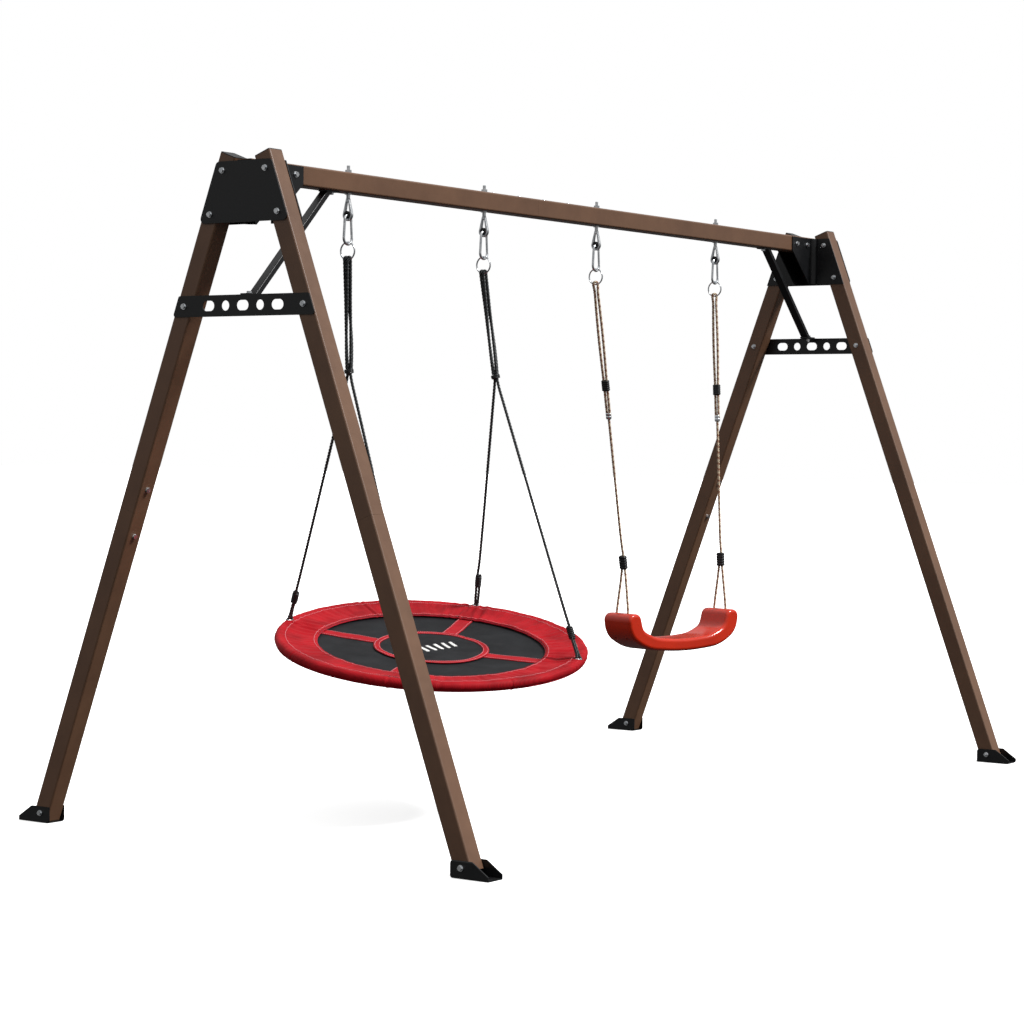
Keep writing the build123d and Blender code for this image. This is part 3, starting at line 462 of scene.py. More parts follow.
# ---------------------------------------------------------------------------- shapes
def mesh_piece(
    name: str,
    points: Sequence[Sequence[float]],
    faces: Sequence[Sequence[int]],
    materials: Sequence[bpy.types.Material],
    body: str,
    smooth: bool = True,
) -> bpy.types.Object:
    """Make one mesh object and let it ride on a body.

    Args:
        name: the piece's name.
        points: vertex positions.
        faces: vertex indices of each face.
        materials: the piece's material slots, in order.
        body: the CAD body that it moves with.
        smooth: whether its faces are shaded smooth.

    Returns:
        The new object.
    """
    mesh = bpy.data.meshes.new(name)
    mesh.from_pydata([tuple(p) for p in points], [], faces)
    mesh.update()
    for material in materials:
        mesh.materials.append(material)
    if smooth:
        mesh.shade_smooth()
    made = bpy.data.objects.new(name, mesh)
    bpy.context.scene.collection.objects.link(made)
    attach(made, body)
    return made


def grid_faces(
    rows: int, columns: int, close_rows: bool, close_columns: bool, start: int = 0
) -> list[tuple[int, ...]]:
    """Quads over a grid of points numbered row by row.

    Args:
        rows: number of rows of points.
        columns: points in each row.
        close_rows: whether the last row joins the first.
        close_columns: whether each row is a closed ring.
        start: number of the first point.

    Returns:
        The quads.
    """
    last_row, last_column = rows - (not close_rows), columns - (not close_columns)
    return [
        (
            start + i * columns + j,
            start + i * columns + (j + 1) % columns,
            start + (i + 1) % rows * columns + (j + 1) % columns,
            start + (i + 1) % rows * columns + j,
        )
        for i in range(last_row)
        for j in range(last_column)
    ]


def smooth_line(route: Sequence[Vector]) -> np.ndarray:
    """Read the smooth NURBS line that a rope's route makes.

    Args:
        route: the route's control points.

    Returns:
        Points along the line.
    """
    curve = bpy.data.curves.new("route", "CURVE")
    curve.dimensions = "3D"
    curve.resolution_u = 12
    spline = curve.splines.new("NURBS")
    spline.points.add(len(route) - 1)
    for point, place in zip(spline.points, route):
        point.co = (*place, 1.0)
    spline.order_u = 3
    spline.use_endpoint_u = True
    holder = bpy.data.objects.new("route", curve)
    mesh = bpy.data.meshes.new_from_object(holder)
    line = np.array([v.co[:] for v in mesh.vertices])
    bpy.data.meshes.remove(mesh)
    bpy.data.objects.remove(holder)
    return line


def evenly(line: np.ndarray, step: float) -> np.ndarray:
    """Space a line's points about step apart."""
    along = np.concatenate([[0.0], np.cumsum(np.linalg.norm(np.diff(line, axis=0), axis=1))])
    at = np.linspace(0, along[-1], max(3, math.ceil(along[-1] / step) + 1))
    return np.stack([np.interp(at, along, line[:, k]) for k in range(3)], axis=1)


def carried_frames(line: np.ndarray) -> tuple[np.ndarray, np.ndarray, np.ndarray]:
    """Directions along and across a line that turn with it without twisting.

    Args:
        line: points in order.

    Returns:
        Unit tangents, and two unit directions across them.
    """
    tangent = np.gradient(line, axis=0)
    tangent /= np.linalg.norm(tangent, axis=1)[:, None]
    helper = np.array([0.0, 1.0, 0.0]) if abs(tangent[0][1]) < 0.9 else np.array([1.0, 0.0, 0.0])
    side = np.zeros_like(line)
    current = np.cross(tangent[0], helper)
    for i, ahead in enumerate(tangent):
        current = current - ahead * np.dot(current, ahead)
        current /= np.linalg.norm(current)
        side[i] = current
    return tangent, side, np.cross(tangent, side)


@dataclass
class RopeLay:
    """How a rope is laid up: its strands, their pitch and how finely they are drawn."""

    diameter: float = 0.010
    strands: int = 3
    pitch: float = 0.030
    sides: int = 7
    step: float = 0.0026
    stripe_pitch: float = 0.021

    def strand_radius(self) -> float:
        """Radius of one strand, with the strands just touching."""
        return self.diameter / 2 / (1 + 1 / math.sin(math.pi / self.strands))

    def build(
        self, name: str, line: np.ndarray, material: bpy.types.Material, body: str, slot: str
    ) -> bpy.types.Object:
        """Lay the strands along a line.

        Args:
            name: the piece's name.
            line: points that the rope follows.
            material: the rope's finish.
            body: the CAD body that it rides on.
            slot: not used.

        Returns:
            The rope, with an attribute that spirals round each strand and places its coloured stripe: a tracer
            yarn on the beige rope, a painted highlight on the black rope.
        """
        middle = evenly(line, self.step)
        _, side, over = carried_frames(middle)
        along = np.arange(len(middle)) * self.step
        radius = self.strand_radius() * 1.06
        offset = self.diameter / 2 - radius / 1.06
        points: list[np.ndarray] = []
        faces: list[tuple[int, ...]] = []
        stripe_spiral: list[float] = []
        for strand in range(self.strands):
            turn = 2 * math.pi * (along / self.pitch + strand / self.strands)
            out = np.cos(turn)[:, None] * side + np.sin(turn)[:, None] * over
            centre = middle + out * offset
            ahead = np.gradient(centre, axis=0)
            ahead /= np.linalg.norm(ahead, axis=1)[:, None]
            first = out - ahead * (out * ahead).sum(1)[:, None]
            first /= np.linalg.norm(first, axis=1)[:, None]
            second = np.cross(ahead, first)
            start = sum(len(p) for p in points)
            rings = []
            for k in range(self.sides):
                angle = 2 * math.pi * k / self.sides
                rings.append(centre + radius * (math.cos(angle) * first + math.sin(angle) * second))
                stripe_turn = angle - 2 * math.pi * along / self.stripe_pitch
                stripe_spiral.append(np.cos(stripe_turn))
            points.append(np.stack(rings, axis=1).reshape(-1, 3))
            faces += grid_faces(len(middle), self.sides, False, True, start)
            faces.append(tuple(range(start, start + self.sides))[::-1])
            last = start + (len(middle) - 1) * self.sides
            faces.append(tuple(range(last, last + self.sides)))
        made = mesh_piece(name, np.concatenate(points), faces, [material], body)
        strands = [stripe_spiral[s * self.sides : (s + 1) * self.sides] for s in range(self.strands)]
        values = np.concatenate([np.stack(sides, axis=1).reshape(-1) for sides in strands])
        attribute = made.data.attributes.new("stripe_spiral", "FLOAT", "POINT")
        attribute.data.foreach_set("value", values.astype(np.float32))
        return made


def tube_shape(line: np.ndarray, radius: float, sides: int = 8, start: int = 0) -> tuple[list, list]:
    """Points and faces of a round tube with closed ends along a line.

    Args:
        line: points in order.
        radius: the tube's radius.
        sides: points round the tube.
        start: number of the first point.

    Returns:
        The points and the faces.
    """
    _, side, over = carried_frames(line)
    rings = [
        line + radius * (math.cos(2 * math.pi * k / sides) * side + math.sin(2 * math.pi * k / sides) * over)
        for k in range(sides)
    ]
    points = np.stack(rings, axis=1).reshape(-1, 3)
    faces = grid_faces(len(line), sides, False, True, start)
    faces.append(tuple(range(start, start + sides))[::-1])
    faces.append(tuple(range(start + (len(line) - 1) * sides, start + len(line) * sides)))
    return list(points), faces


def wound_coil(
    centre: Vector, axis: Vector, length: float, radius: float, wire: float, turns: float
) -> np.ndarray:
    """Points of a coil wound round a short piece of rope.

    Args:
        centre: middle of the coil.
        axis: direction of the rope.
        length: length of the coil along the rope.
        radius: radius of the coil's middle line.
        wire: thickness of what is wound, which rounds the ends in.
        turns: number of turns.

    Returns:
        Points along the coil.
    """
    axis = axis.normalized()
    side = axis.orthogonal().normalized()
    over = axis.cross(side)
    count = int(turns * 18)
    found = []
    for i in range(count + 1):
        share = i / count
        angle = 2 * math.pi * turns * share
        pull_in = 1 - 0.25 * abs(2 * share - 1) ** 8
        found.append(
            centre
            + axis * (length - wire) * (share - 0.5)
            + (side * math.cos(angle) + over * math.sin(angle)) * radius * pull_in
        )
    return np.array([p[:] for p in found])


def turned_shape(
    centre: Vector,
    axis: Vector,
    across: Vector,
    profile: Sequence[tuple[float, float, float]],
    square: float,
    sides: int = 28,
) -> tuple[list[Vector], list[tuple[int, ...]]]:
    """Points and faces of a moulded body made of rounded sections along an axis.

    Args:
        centre: middle of the body.
        axis: its long direction.
        across: its wide direction.
        profile: position along the axis, half width and half depth of each section.
        square: 2 for round sections and more for squarer ones.
        sides: points round a section.

    Returns:
        The points and the faces.
    """
    axis = axis.normalized()
    across = (across - axis * across.dot(axis)).normalized()
    deep = axis.cross(across)
    points = []
    for along, wide, thick in profile:
        for k in range(sides):
            angle = 2 * math.pi * k / sides
            c, s = math.cos(angle), math.sin(angle)
            x = math.copysign(abs(c) ** (2 / square), c) * wide
            y = math.copysign(abs(s) ** (2 / square), s) * thick
            points.append(centre + axis * along + across * x + deep * y)
    faces = grid_faces(len(profile), sides, False, True)
    faces.append(tuple(range(sides))[::-1])
    faces.append(tuple(range((len(profile) - 1) * sides, len(profile) * sides)))
    return points, faces


def ribbed_profile(
    length: float, wide: float, thick: float, ribs: int, groove: float
) -> list[tuple[float, float, float]]:
    """Sections of a moulded block with grooves across it and rounded ends.

    Args:
        length: overall length.
        wide: half width over the ribs.
        thick: half depth over the ribs.
        ribs: number of ribs.
        groove: depth of the grooves.

    Returns:
        Position, half width and half depth of each section.
    """
    half = length / 2
    found = [(-half, wide * 0.55, thick * 0.55), (-half + 0.0006, wide * 0.8, thick * 0.8)]
    pitch = (length - 0.003) / ribs
    for rib in range(ribs):
        low = -half + 0.0015 + rib * pitch
        found += [
            (low, wide - groove, thick - groove),
            (low + pitch * 0.18, wide - groove * 0.1, thick - groove * 0.1),
            (low + pitch * 0.32, wide, thick),
            (low + pitch * 0.68, wide, thick),
            (low + pitch * 0.82, wide - groove * 0.1, thick - groove * 0.1),
            (low + pitch, wide - groove, thick - groove),
        ]
    return found + [(half - 0.0006, wide * 0.8, thick * 0.8), (half, wide * 0.55, thick * 0.55)]


def stitch_row(
    name: str,
    places: Sequence[Vector],
    ups: Sequence[Vector],
    material: bpy.types.Material,
    body: str,
    stitch: float = 0.005,
    gap: float = 0.0022,
    thread: float = 0.0009,
) -> bpy.types.Object:
    """Sew a row of raised stitches along a line on cloth.

    Args:
        name: the piece's name.
        places: points of the seam, in order.
        ups: the cloth's outward direction at each point.
        material: the thread's finish.
        body: the CAD body that it rides on.
        stitch: length of one stitch.
        gap: space between stitches.
        thread: half the thread's thickness.

    Returns:
        One mesh that holds every stitch.
    """
    line = np.array([p[:] for p in places])
    normal = np.array([u[:] for u in ups])
    along = np.concatenate([[0.0], np.cumsum(np.linalg.norm(np.diff(line, axis=0), axis=1))])
    points: list = []
    faces: list = []
    at = gap
    while at + stitch < along[-1]:
        spots = np.array([at, at + stitch * 0.25, at + stitch * 0.75, at + stitch])
        row = np.stack([np.interp(spots, along, line[:, k]) for k in range(3)], axis=1)
        up = np.stack([np.interp(spots, along, normal[:, k]) for k in range(3)], axis=1)
        row = row + up * (np.array([-0.6, 0.55, 0.55, -0.6]) * thread)[:, None]
        new_points, new_faces = tube_shape(row, thread, 5, len(points))
        points += new_points
        faces += new_faces
        at += stitch + gap
    return mesh_piece(name, points, faces, [material], body)


# ---------------------------------------------------------------------------- steel frame
@dataclass
class SteelFrame:
    """The tubes, plates, braces, feet and fasteners, all shown as the CAD made them."""

    palette: Palette
    brown: tuple[str, ...] = ("leg_lower", "leg_upper", "beam_left", "beam_right")
    black: tuple[str, ...] = ("end_plate", "beam_gussets", "crossbar", "knee_brace", "foot_brackets")
    nylon: tuple[str, ...] = ("leg_end_caps", "hanger_bushes")

    def finish_of(self, node: str) -> Finish:
        """Choose a node's finish from its name.

        Args:
            node: the CAD node's name.

        Returns:
            The finish.
        """
        if "bolts" in node or "sleeve" in node:
            return Finish.ZINC
        for names, finish in (
            (self.brown, Finish.BROWN_COAT),
            (self.black, Finish.BLACK_COAT),
            (self.nylon, Finish.NYLON),
        ):
            if any(name in node for name in names):
                return finish
        return Finish.ZINC

    def dress(self, nodes: Sequence[str]) -> None:
        """Give every named CAD node its finish.

        Args:
            nodes: names of the nodes.
        """
        for node in nodes:
            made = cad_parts[node]
            finish = self.finish_of(node)
            made.data.materials.clear()
            made.data.materials.append(self.palette.get(finish))
            log.info("dressed %s with %s", node, finish.name.lower())


# ---------------------------------------------------------------------------- nest swing
@dataclass
class NestSwing:
    """The round swing: padded cover, mat, straps, centre patch and its four ropes."""

    palette: Palette
    middle: Vector = field(default_factory=lambda: Vector((-0.775, 0.0, 0.545)))
    turn: float = math.radians(-25.0)
    front_left_shift: float = math.radians(14.0)
    tilt: float = math.radians(11.0)
    heading: float = math.radians(230.0)
    hoop_radius: float = 0.484
    roll: float = 0.016  # radius of the padded roll
    inner_edge: float = 0.366
    mat_radius: float = 0.380
    mat_level: float = -0.0114
    mat_sag: float = 0.007
    patch_radius: float = 0.184
    strap_half: float = 0.026
    hanger_x: dict[str, float] = field(default_factory=lambda: {"left": -1.219, "right": -0.517})
    ring_wire_z: float = 1.7378
    bundle_top_z: float = 1.7353
    junction_z: float = 1.392
    rope: RopeLay = field(default_factory=lambda: RopeLay(0.010, 3, 0.034))
    tail_length: float = 0.062
    adjuster_length: float = 0.048
    body: str = "nest"

    def __post_init__(self) -> None:
        """Work out the tilted plane of the hoop."""
        lean = math.sin(self.tilt)
        up = Vector(
            (math.cos(self.heading) * lean, math.sin(self.heading) * lean, math.cos(self.tilt))
        )
        along = (Vector((1, 0, 0)) - up * up.x).normalized()
        self.up, self.along, self.across = up, along, up.cross(along)

    def place(self, x: float, y: float, z: float) -> Vector:
        """Turn local coordinates on the hoop's plane into the frame's."""
        return self.middle + self.along * x + self.across * y + self.up * z

    def polar(self, angle: float, radius: float, z: float) -> Vector:
        """Point at an angle, radius and height over the hoop's plane."""
        return self.place(math.cos(angle) * radius, math.sin(angle) * radius, z)

    def hook_angles(self) -> list[float]:
        """Angles at which the four ropes enter the cover."""
        return [self.hook(end, row)[0] for end in ("left", "right") for row in (-1, 1)]

    def strap_angles(self) -> list[float]:
        """Angles of the four straps, a quarter turn apart."""
        return [math.radians(45 + 90 * k) + self.turn for k in range(4)]

    # -- cover
    def crease(self, angle: float, radius: float) -> float:
        """Height of the cover's creases above its smooth shape, in metres.

        Args:
            angle: place round the cover.
            radius: distance from the middle.

        Returns:
            The height.
        """
        run = angle * self.hoop_radius
        ring = Vector((math.cos(angle) * 7.5, math.sin(angle) * 7.5, radius * 6))
        slow = noise.noise(ring) * 0.0042
        fast = noise.noise(Vector((math.cos(angle) * 26, math.sin(angle) * 26, radius * 11 + 4.0))) * 0.0030
        slant = math.sin(run * 48 + radius * 60 + 2.0 * math.sin(angle * 3)) * 0.0005
        near = min(abs((angle - hook + math.pi) % (2 * math.pi) - math.pi) for hook in self.hook_angles())
        pull = math.exp(-((near * self.hoop_radius / 0.075) ** 2))
        folds = math.sin(near * self.hoop_radius * 170 + radius * 40) * 0.0030 * pull
        return slow + fast + slant + folds

    def seam(self, angle: float) -> float:
        """How far the cover is drawn in by the seam nearest to an angle, in metres."""
        step = math.radians(45)
        off = abs(angle % step - step / 2) * self.hoop_radius
        return 0.0022 * math.exp(-((off / 0.0035) ** 2)) - 0.0009 * math.exp(-(((off - 0.010) / 0.005) ** 2))

    def cover_profile(self) -> list[tuple[float, float, float, float]]:
        """Outline of the cover's section, and how much each point creases.

        Returns:
            Distance from the hoop's line outwards, height, creasing share and 1 on the red side.
        """
        reach = self.hoop_radius - self.inner_edge
        lean = math.asin(self.roll / reach) * 0.86
        found: list[tuple[float, float, float, float]] = []
        for k in range(15):  # red top band, from its inner edge up to the roll
            share = k / 14
            angle = math.pi / 2 + lean
            end = Vector((math.cos(angle) * self.roll, math.sin(angle) * self.roll))
            start = Vector((-reach, -0.0008))
            spot = start.lerp(end, share)
            sink = math.sin(share * math.pi) * 0.0035
            found.append((spot.x, spot.y - sink, 0.35 + 0.65 * math.sin(share * math.pi) ** 0.6, 1))
        for k in range(1, 15):  # red outside of the roll
            angle = math.pi / 2 + lean - (math.pi / 2 + lean + UNDER_ANGLE) * k / 14
            found.append((math.cos(angle) * self.roll, math.sin(angle) * self.roll, 0.45, 1))
        for k in range(1, 12):  # black underside of the roll
            angle = -UNDER_ANGLE - math.radians(90) * k / 11
            found.append((math.cos(angle) * self.roll, math.sin(angle) * self.roll, 0.3, 0))
        for k in range(1, 9):  # black underside of the band
            share = k / 8
            angle = -math.radians(142)
            start = Vector((math.cos(angle) * self.roll, math.sin(angle) * self.roll))
            across = start.x + (-reach - start.x) * share
            height = start.y + (-0.0098 - start.y) * min(1, share * 2.2)
            found.append((across, height, 0.15, 0))
        return found

    def build_cover(self) -> bpy.types.Object:
        """Sew the padded cover: red above and outside, black below, gathered at eight seams.

        Returns:
            The cover.
        """
        profile = self.cover_profile()
        count = 900
        points = []
        for i in range(count):
            angle = 2 * math.pi * i / count
            drawn = self.seam(angle)
            for out, height, creasing, _ in profile:
                radius = self.hoop_radius + out
                lift = self.crease(angle, radius) * creasing
                length = math.hypot(out, height) or 1.0
                on_roll = out > -0.012
                if on_roll:
                    scale = (length - drawn * 0.8 + min(lift, 0.0004)) / length
                    points.append(self.polar(angle, self.hoop_radius + out * scale, height * scale))
                else:
                    pinch = drawn * (1.0 if creasing > 0.2 else 0.2)
                    points.append(self.polar(angle, radius, height + lift - pinch))
        faces = grid_faces(count, len(profile), True, True)
        cover = mesh_piece(
            "nest_padded_cover",
            points,
            [f[::-1] for f in faces],
            [self.palette.get(Finish.RED_OXFORD), self.palette.get(Finish.BLACK_OXFORD)],
            self.body,
        )
        columns = len(profile)
        for number, polygon in enumerate(cover.data.polygons):
            red = profile[number % columns][3] and profile[(number + 1) % columns][3]
            polygon.material_index = 0 if red else 1
        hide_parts("nest_cover", "nest_hoop")
        return cover

    def ring_line(self, out: float, height: float, lift: float, count: int = 720) -> list[Vector]:
        """Points round the cover that follow its creases.

        Args:
            out: distance outwards from the hoop's line.
            height: height over the hoop's plane.
            lift: share of the crease height that is followed.
            count: number of points.

        Returns:
            The points, closed by repeating the first.
        """
        radius = self.hoop_radius + out
        return [
            self.polar(a, radius, height + self.crease(a, radius) * lift - self.seam(a) * 0.6)
            for a in (2 * math.pi * i / count for i in range(count + 1))
        ]

    def build_trim(self) -> list[bpy.types.Object]:
        """Add the piping, the seam between the colours and the rows of stitches.

        Returns:
            The trim pieces.
        """
        made = []
        under = -UNDER_ANGLE
        out, low = math.cos(under) * (self.roll + 0.0002), math.sin(under) * (self.roll + 0.0002)
        inside = -(self.hoop_radius - self.inner_edge) - 0.0005
        piping = self.palette.get(Finish.PIPING)
        for name, line, radius in (
            ("nest_outer_piping", self.ring_line(out, low, 0.0), 0.0021),
            ("nest_inner_piping", self.ring_line(inside, -0.0052, 0.3), 0.0026),
        ):
            points, faces = tube_shape(np.array([p[:] for p in line]), radius, 8)
            made.append(mesh_piece(name, points, faces, [piping], self.body))
        profile = self.cover_profile()
        for name, spot in (("nest_inner_stitches", profile[1]), ("nest_band_stitches", profile[12])):
            line = self.ring_line(spot[0], spot[1] + 0.0002, spot[2])
            thread = self.palette.get(Finish.THREAD)
            made.append(stitch_row(name, line, [self.up] * len(line), thread, self.body))
        return made

    # -- mat
    def mat_height(self, radius: float, angle: float) -> float:
        """Height of the mat's top over the hoop's plane."""
        share = min(1.0, radius / self.inner_edge)
        place = Vector((math.cos(angle) * radius * 14, math.sin(angle) * radius * 14, 2.0))
        ripple = noise.noise(place) * 0.0022
        return self.mat_level - self.mat_sag * (1 - share * share) + ripple * (1 - share**6)

    def build_mat(self) -> bpy.types.Object:
        """Stretch the black mat across the hoop.

        Returns:
            The mat.
        """
        rings, spokes = 60, 160
        points = []
        for level in (0.0, -0.0022):
            for i in range(1, rings + 1):
                radius = self.mat_radius * i / rings
                for k in range(spokes):
                    angle = 2 * math.pi * k / spokes
                    points.append(self.polar(angle, radius, self.mat_height(radius, angle) + level))
        half = rings * spokes
        top = grid_faces(rings, spokes, False, True)
        low = [tuple(v + half for v in face[::-1]) for face in top]
        rim = [
            ((rings - 1) * spokes + k, (rings - 1) * spokes + (k + 1) % spokes,
             half + (rings - 1) * spokes + (k + 1) % spokes, half + (rings - 1) * spokes + k)
            for k in range(spokes)
        ]
        rim = [face[::-1] for face in rim]
        centre = [tuple(range(spokes))[::-1], tuple(range(half, half + spokes))]
        mat = mesh_piece(
            "nest_black_mat",
            points,
            [f[::-1] for f in top + low + rim + centre],
            [self.palette.get(Finish.BLACK_OXFORD)],
            self.body,
        )
        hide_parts("nest_mat")
        return mat

    def flat_shape(
        self,
        outline: Callable[[float, float], tuple[float, float]],
        rows: int,
        columns: int,
        lift: float,
        thick: float,
    ) -> tuple[list[Vector], list[tuple[int, ...]]]:
        """A thin closed sheet that lies on the mat.

        Args:
            outline: turns two shares from 0 to 1 into local x and y.
            rows: points one way.
            columns: points the other way.
            lift: height of its underside over the mat.
            thick: its thickness.

        Returns:
            The points and the faces.
        """
        points = []
        for level in (lift + thick, lift):
            for i in range(rows):
                for k in range(columns):
                    x, y = outline(i / (rows - 1), k / (columns - 1))
                    radius, angle = math.hypot(x, y), math.atan2(y, x)
                    edge = min(i, rows - 1 - i, k, columns - 1 - k)
                    level_here = level - (thick * 0.35 if edge == 0 and level > lift else 0)
                    points.append(self.place(x, y, self.mat_height(radius, angle) + level_here))
        half = rows * columns
        top = grid_faces(rows, columns, False, False)
        faces = top + [tuple(v + half for v in face[::-1]) for face in top]
        border = (
            [(0, k) for k in range(columns)]
            + [(i, columns - 1) for i in range(1, rows)]
            + [(rows - 1, k) for k in range(columns - 2, -1, -1)]
            + [(i, 0) for i in range(rows - 2, 0, -1)]
        )
        rim = [i * columns + k for i, k in border]
        for a, b in zip(rim, rim[1:] + rim[:1]):
            faces.append((b, a, a + half, b + half))
        return points, faces

    def build_straps(self) -> list[bpy.types.Object]:
        """Lay four webbing straps from the centre patch to the cover, with hems and stitches.

        Returns:
            The strap and hem pieces.
        """
        made = []
        start, stop = self.patch_radius - 0.012, self.inner_edge + 0.006
        for number, turn in enumerate(self.strap_angles(), 1):
            c, s = math.cos(turn), math.sin(turn)

            def outline(u: float, v: float) -> tuple[float, float]:
                """Local place of a point of the strap."""
                along, side = start + (stop - start) * u, self.strap_half * (2 * v - 1)
                return c * along - s * side, s * along + c * side

            points, faces = self.flat_shape(outline, 26, 9, 0.0006, 0.0016)
            webbing = self.palette.get(Finish.RED_WEBBING)
            strap = mesh_piece(f"nest_strap_{number}", points, faces, [webbing], self.body)
            seams = []
            for side in (-1, 1):
                line = [outline(i / 40, 0.5 + side * 0.42) for i in range(41)]
                places = [
                    self.place(x, y, self.mat_height(math.hypot(x, y), math.atan2(y, x)) + 0.0024) for x, y in line
                ]
                seams.append(
                    stitch_row(
                        f"nest_strap_{number}_seam_{'low' if side < 0 else 'high'}",
                        places,
                        [self.up] * len(places),
                        self.palette.get(Finish.THREAD),
                        self.body,
                    )
                )
            made += [strap, *seams]
        return made

    def build_patch(self) -> list[bpy.types.Object]:
        """Make the round centre patch: black field, red border, stitches and a plain printed row.

        Returns:
            The patch and what is on it.
        """
        border = 0.020

        def ring(inner: float, outer: float) -> Callable[[float, float], tuple[float, float]]:
            """Outline of a ring between two radii."""

            def outline(u: float, v: float) -> tuple[float, float]:
                """Local place of a point of the ring."""
                radius, angle = inner + (outer - inner) * u, 2 * math.pi * v
                return radius * math.cos(angle), radius * math.sin(angle)

            return outline

        points, faces = self.flat_shape(ring(0.001, self.patch_radius), 30, 121, 0.0024, 0.0012)
        patch = mesh_piece(
            "nest_centre_patch", points, faces, [self.palette.get(Finish.BLACK_OXFORD)], self.body
        )
        hem_line = ring(self.patch_radius - border, self.patch_radius + 0.001)
        points, faces = self.flat_shape(hem_line, 6, STITCHES + 1, 0.0038, 0.0014)
        hem = mesh_piece(
            "nest_patch_border", points, faces, [self.palette.get(Finish.RED_WEBBING)], self.body
        )
        pieces = [hem]
        for name, radius in (
            ("inner", self.patch_radius - border + 0.003),
            ("outer", self.patch_radius - 0.003),
        ):
            line = [
                self.polar(a, radius, self.mat_height(radius, a) + 0.0054)
                for a in (2 * math.pi * i / STITCHES for i in range(STITCHES + 1))
            ]
            pieces.append(
                stitch_row(
                    f"nest_patch_stitches_{name}",
                    line,
                    [self.up] * len(line),
                    self.palette.get(Finish.THREAD),
                    self.body,
                )
            )
        points, faces = [], []
        for number in range(-3, 4):  # a plain row of slanted bars, the print of the patch
            tall = 0.034 - 0.003 * abs(number)

            def bar(u: float, v: float) -> tuple[float, float]:
                """Local place of a point of one printed bar."""
                x = number * 0.030 + (u - 0.5) * 0.013 + (v - 0.5) * 0.012
                y = (v - 0.5) * 2 * tall * (1 - 0.12 * abs(2 * u - 1) ** 3)
                turn = math.radians(-12)
                return math.cos(turn) * x - math.sin(turn) * y, math.sin(turn) * x + math.cos(turn) * y

            new_points, new_faces = self.flat_shape(bar, 5, 7, 0.0037, 0.0004)
            faces += [tuple(v + len(points) for v in face) for face in new_faces]
            points += new_points
        pieces.append(
            mesh_piece("nest_patch_print", points, faces, [self.palette.get(Finish.PRINT)], self.body)
        )
        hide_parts("nest_straps")
        return [patch, *pieces]

    # -- ropes
    def hook(self, end: str, row: int) -> tuple[float, Vector]:
        """Angle and place at which one rope enters the cover.

        Args:
            end: left or right.
            row: -1 at the front and 1 at the back.

        Returns:
            The angle round the hoop, and the point on top of the cover.
        """
        shift = self.front_left_shift if end == "left" and row < 0 else 0.0
        angle = self.turn + shift + math.atan2(row, -1 if end == "left" else 1)
        return angle, self.polar(angle, self.hoop_radius, self.roll + 0.0006)

    def bundle_middle(self, end: str, height: float) -> Vector:
        """Middle of one end's ropes at a height; it leans towards the middle of its two hooks."""
        ring = Vector((self.hanger_x[end], 0, self.bundle_top_z))
        aim = (self.hook(end, -1)[1] + self.hook(end, 1)[1]) / 2
        return ring + (aim - ring) * ((ring.z - height) / (ring.z - aim.z))

    def rope_facts(self, end: str, row: int) -> tuple[Vector, Vector, Vector, Vector, Vector]:
        """Where one rope parts, enters its knot and meets the cover.

        Args:
            end: left or right.
            row: -1 at the front and 1 at the back.

        Returns:
            The junction, the knot's top and bottom, the hook point and the direction of pull.
        """
        hook = self.hook(end, row)[1]
        apart = hook - self.hook(end, -row)[1]
        apart = Vector((apart.x, apart.y, 0)).normalized() * 0.0053
        junction = self.bundle_middle(end, self.junction_z - 0.0003) + apart
        pull = (hook - junction).normalized()
        low = hook - pull * self.tail_length
        return junction, low - pull * self.adjuster_length, low, hook, pull

    def bundle_point(self, end: str, row: int, returning: bool, height: float) -> Vector:
        """Place of one strand of the bundle under a ring.

        Args:
            end: left or right.
            row: which of the two ropes.
            returning: whether it is the rope's returning end.
            height: height above the ground.

        Returns:
            The point.
        """
        share = (1.7300 - height) / (1.7300 - self.junction_z)
        apart = self.hook(end, 1)[1] - self.hook(end, -1)[1]
        below = math.atan2(apart.y, apart.x) - (math.pi / 2 if returning else 0)
        above = math.radians(35 if returning else 145)
        angle = above + (below - above) * share + (0 if row > 0 else math.pi)
        spread = [(0.0, 0.0095), (0.35, 0.0073), (0.7, 0.0080), (1.0, 0.0074)]
        radius = float(np.interp(share, [s for s, _ in spread], [r for _, r in spread]))
        if returning:
            low = 0.05 if end == "right" else 0.35
            bulge = math.sin(min(1.0, max(0.0, (share - low) / (1 - low))) * math.pi)
            radius += bulge * (0.0065 if row > 0 else 0.0030)
        middle = self.bundle_middle(end, height)
        return Vector((middle.x + math.cos(angle) * radius, middle.y + math.sin(angle) * radius, height))

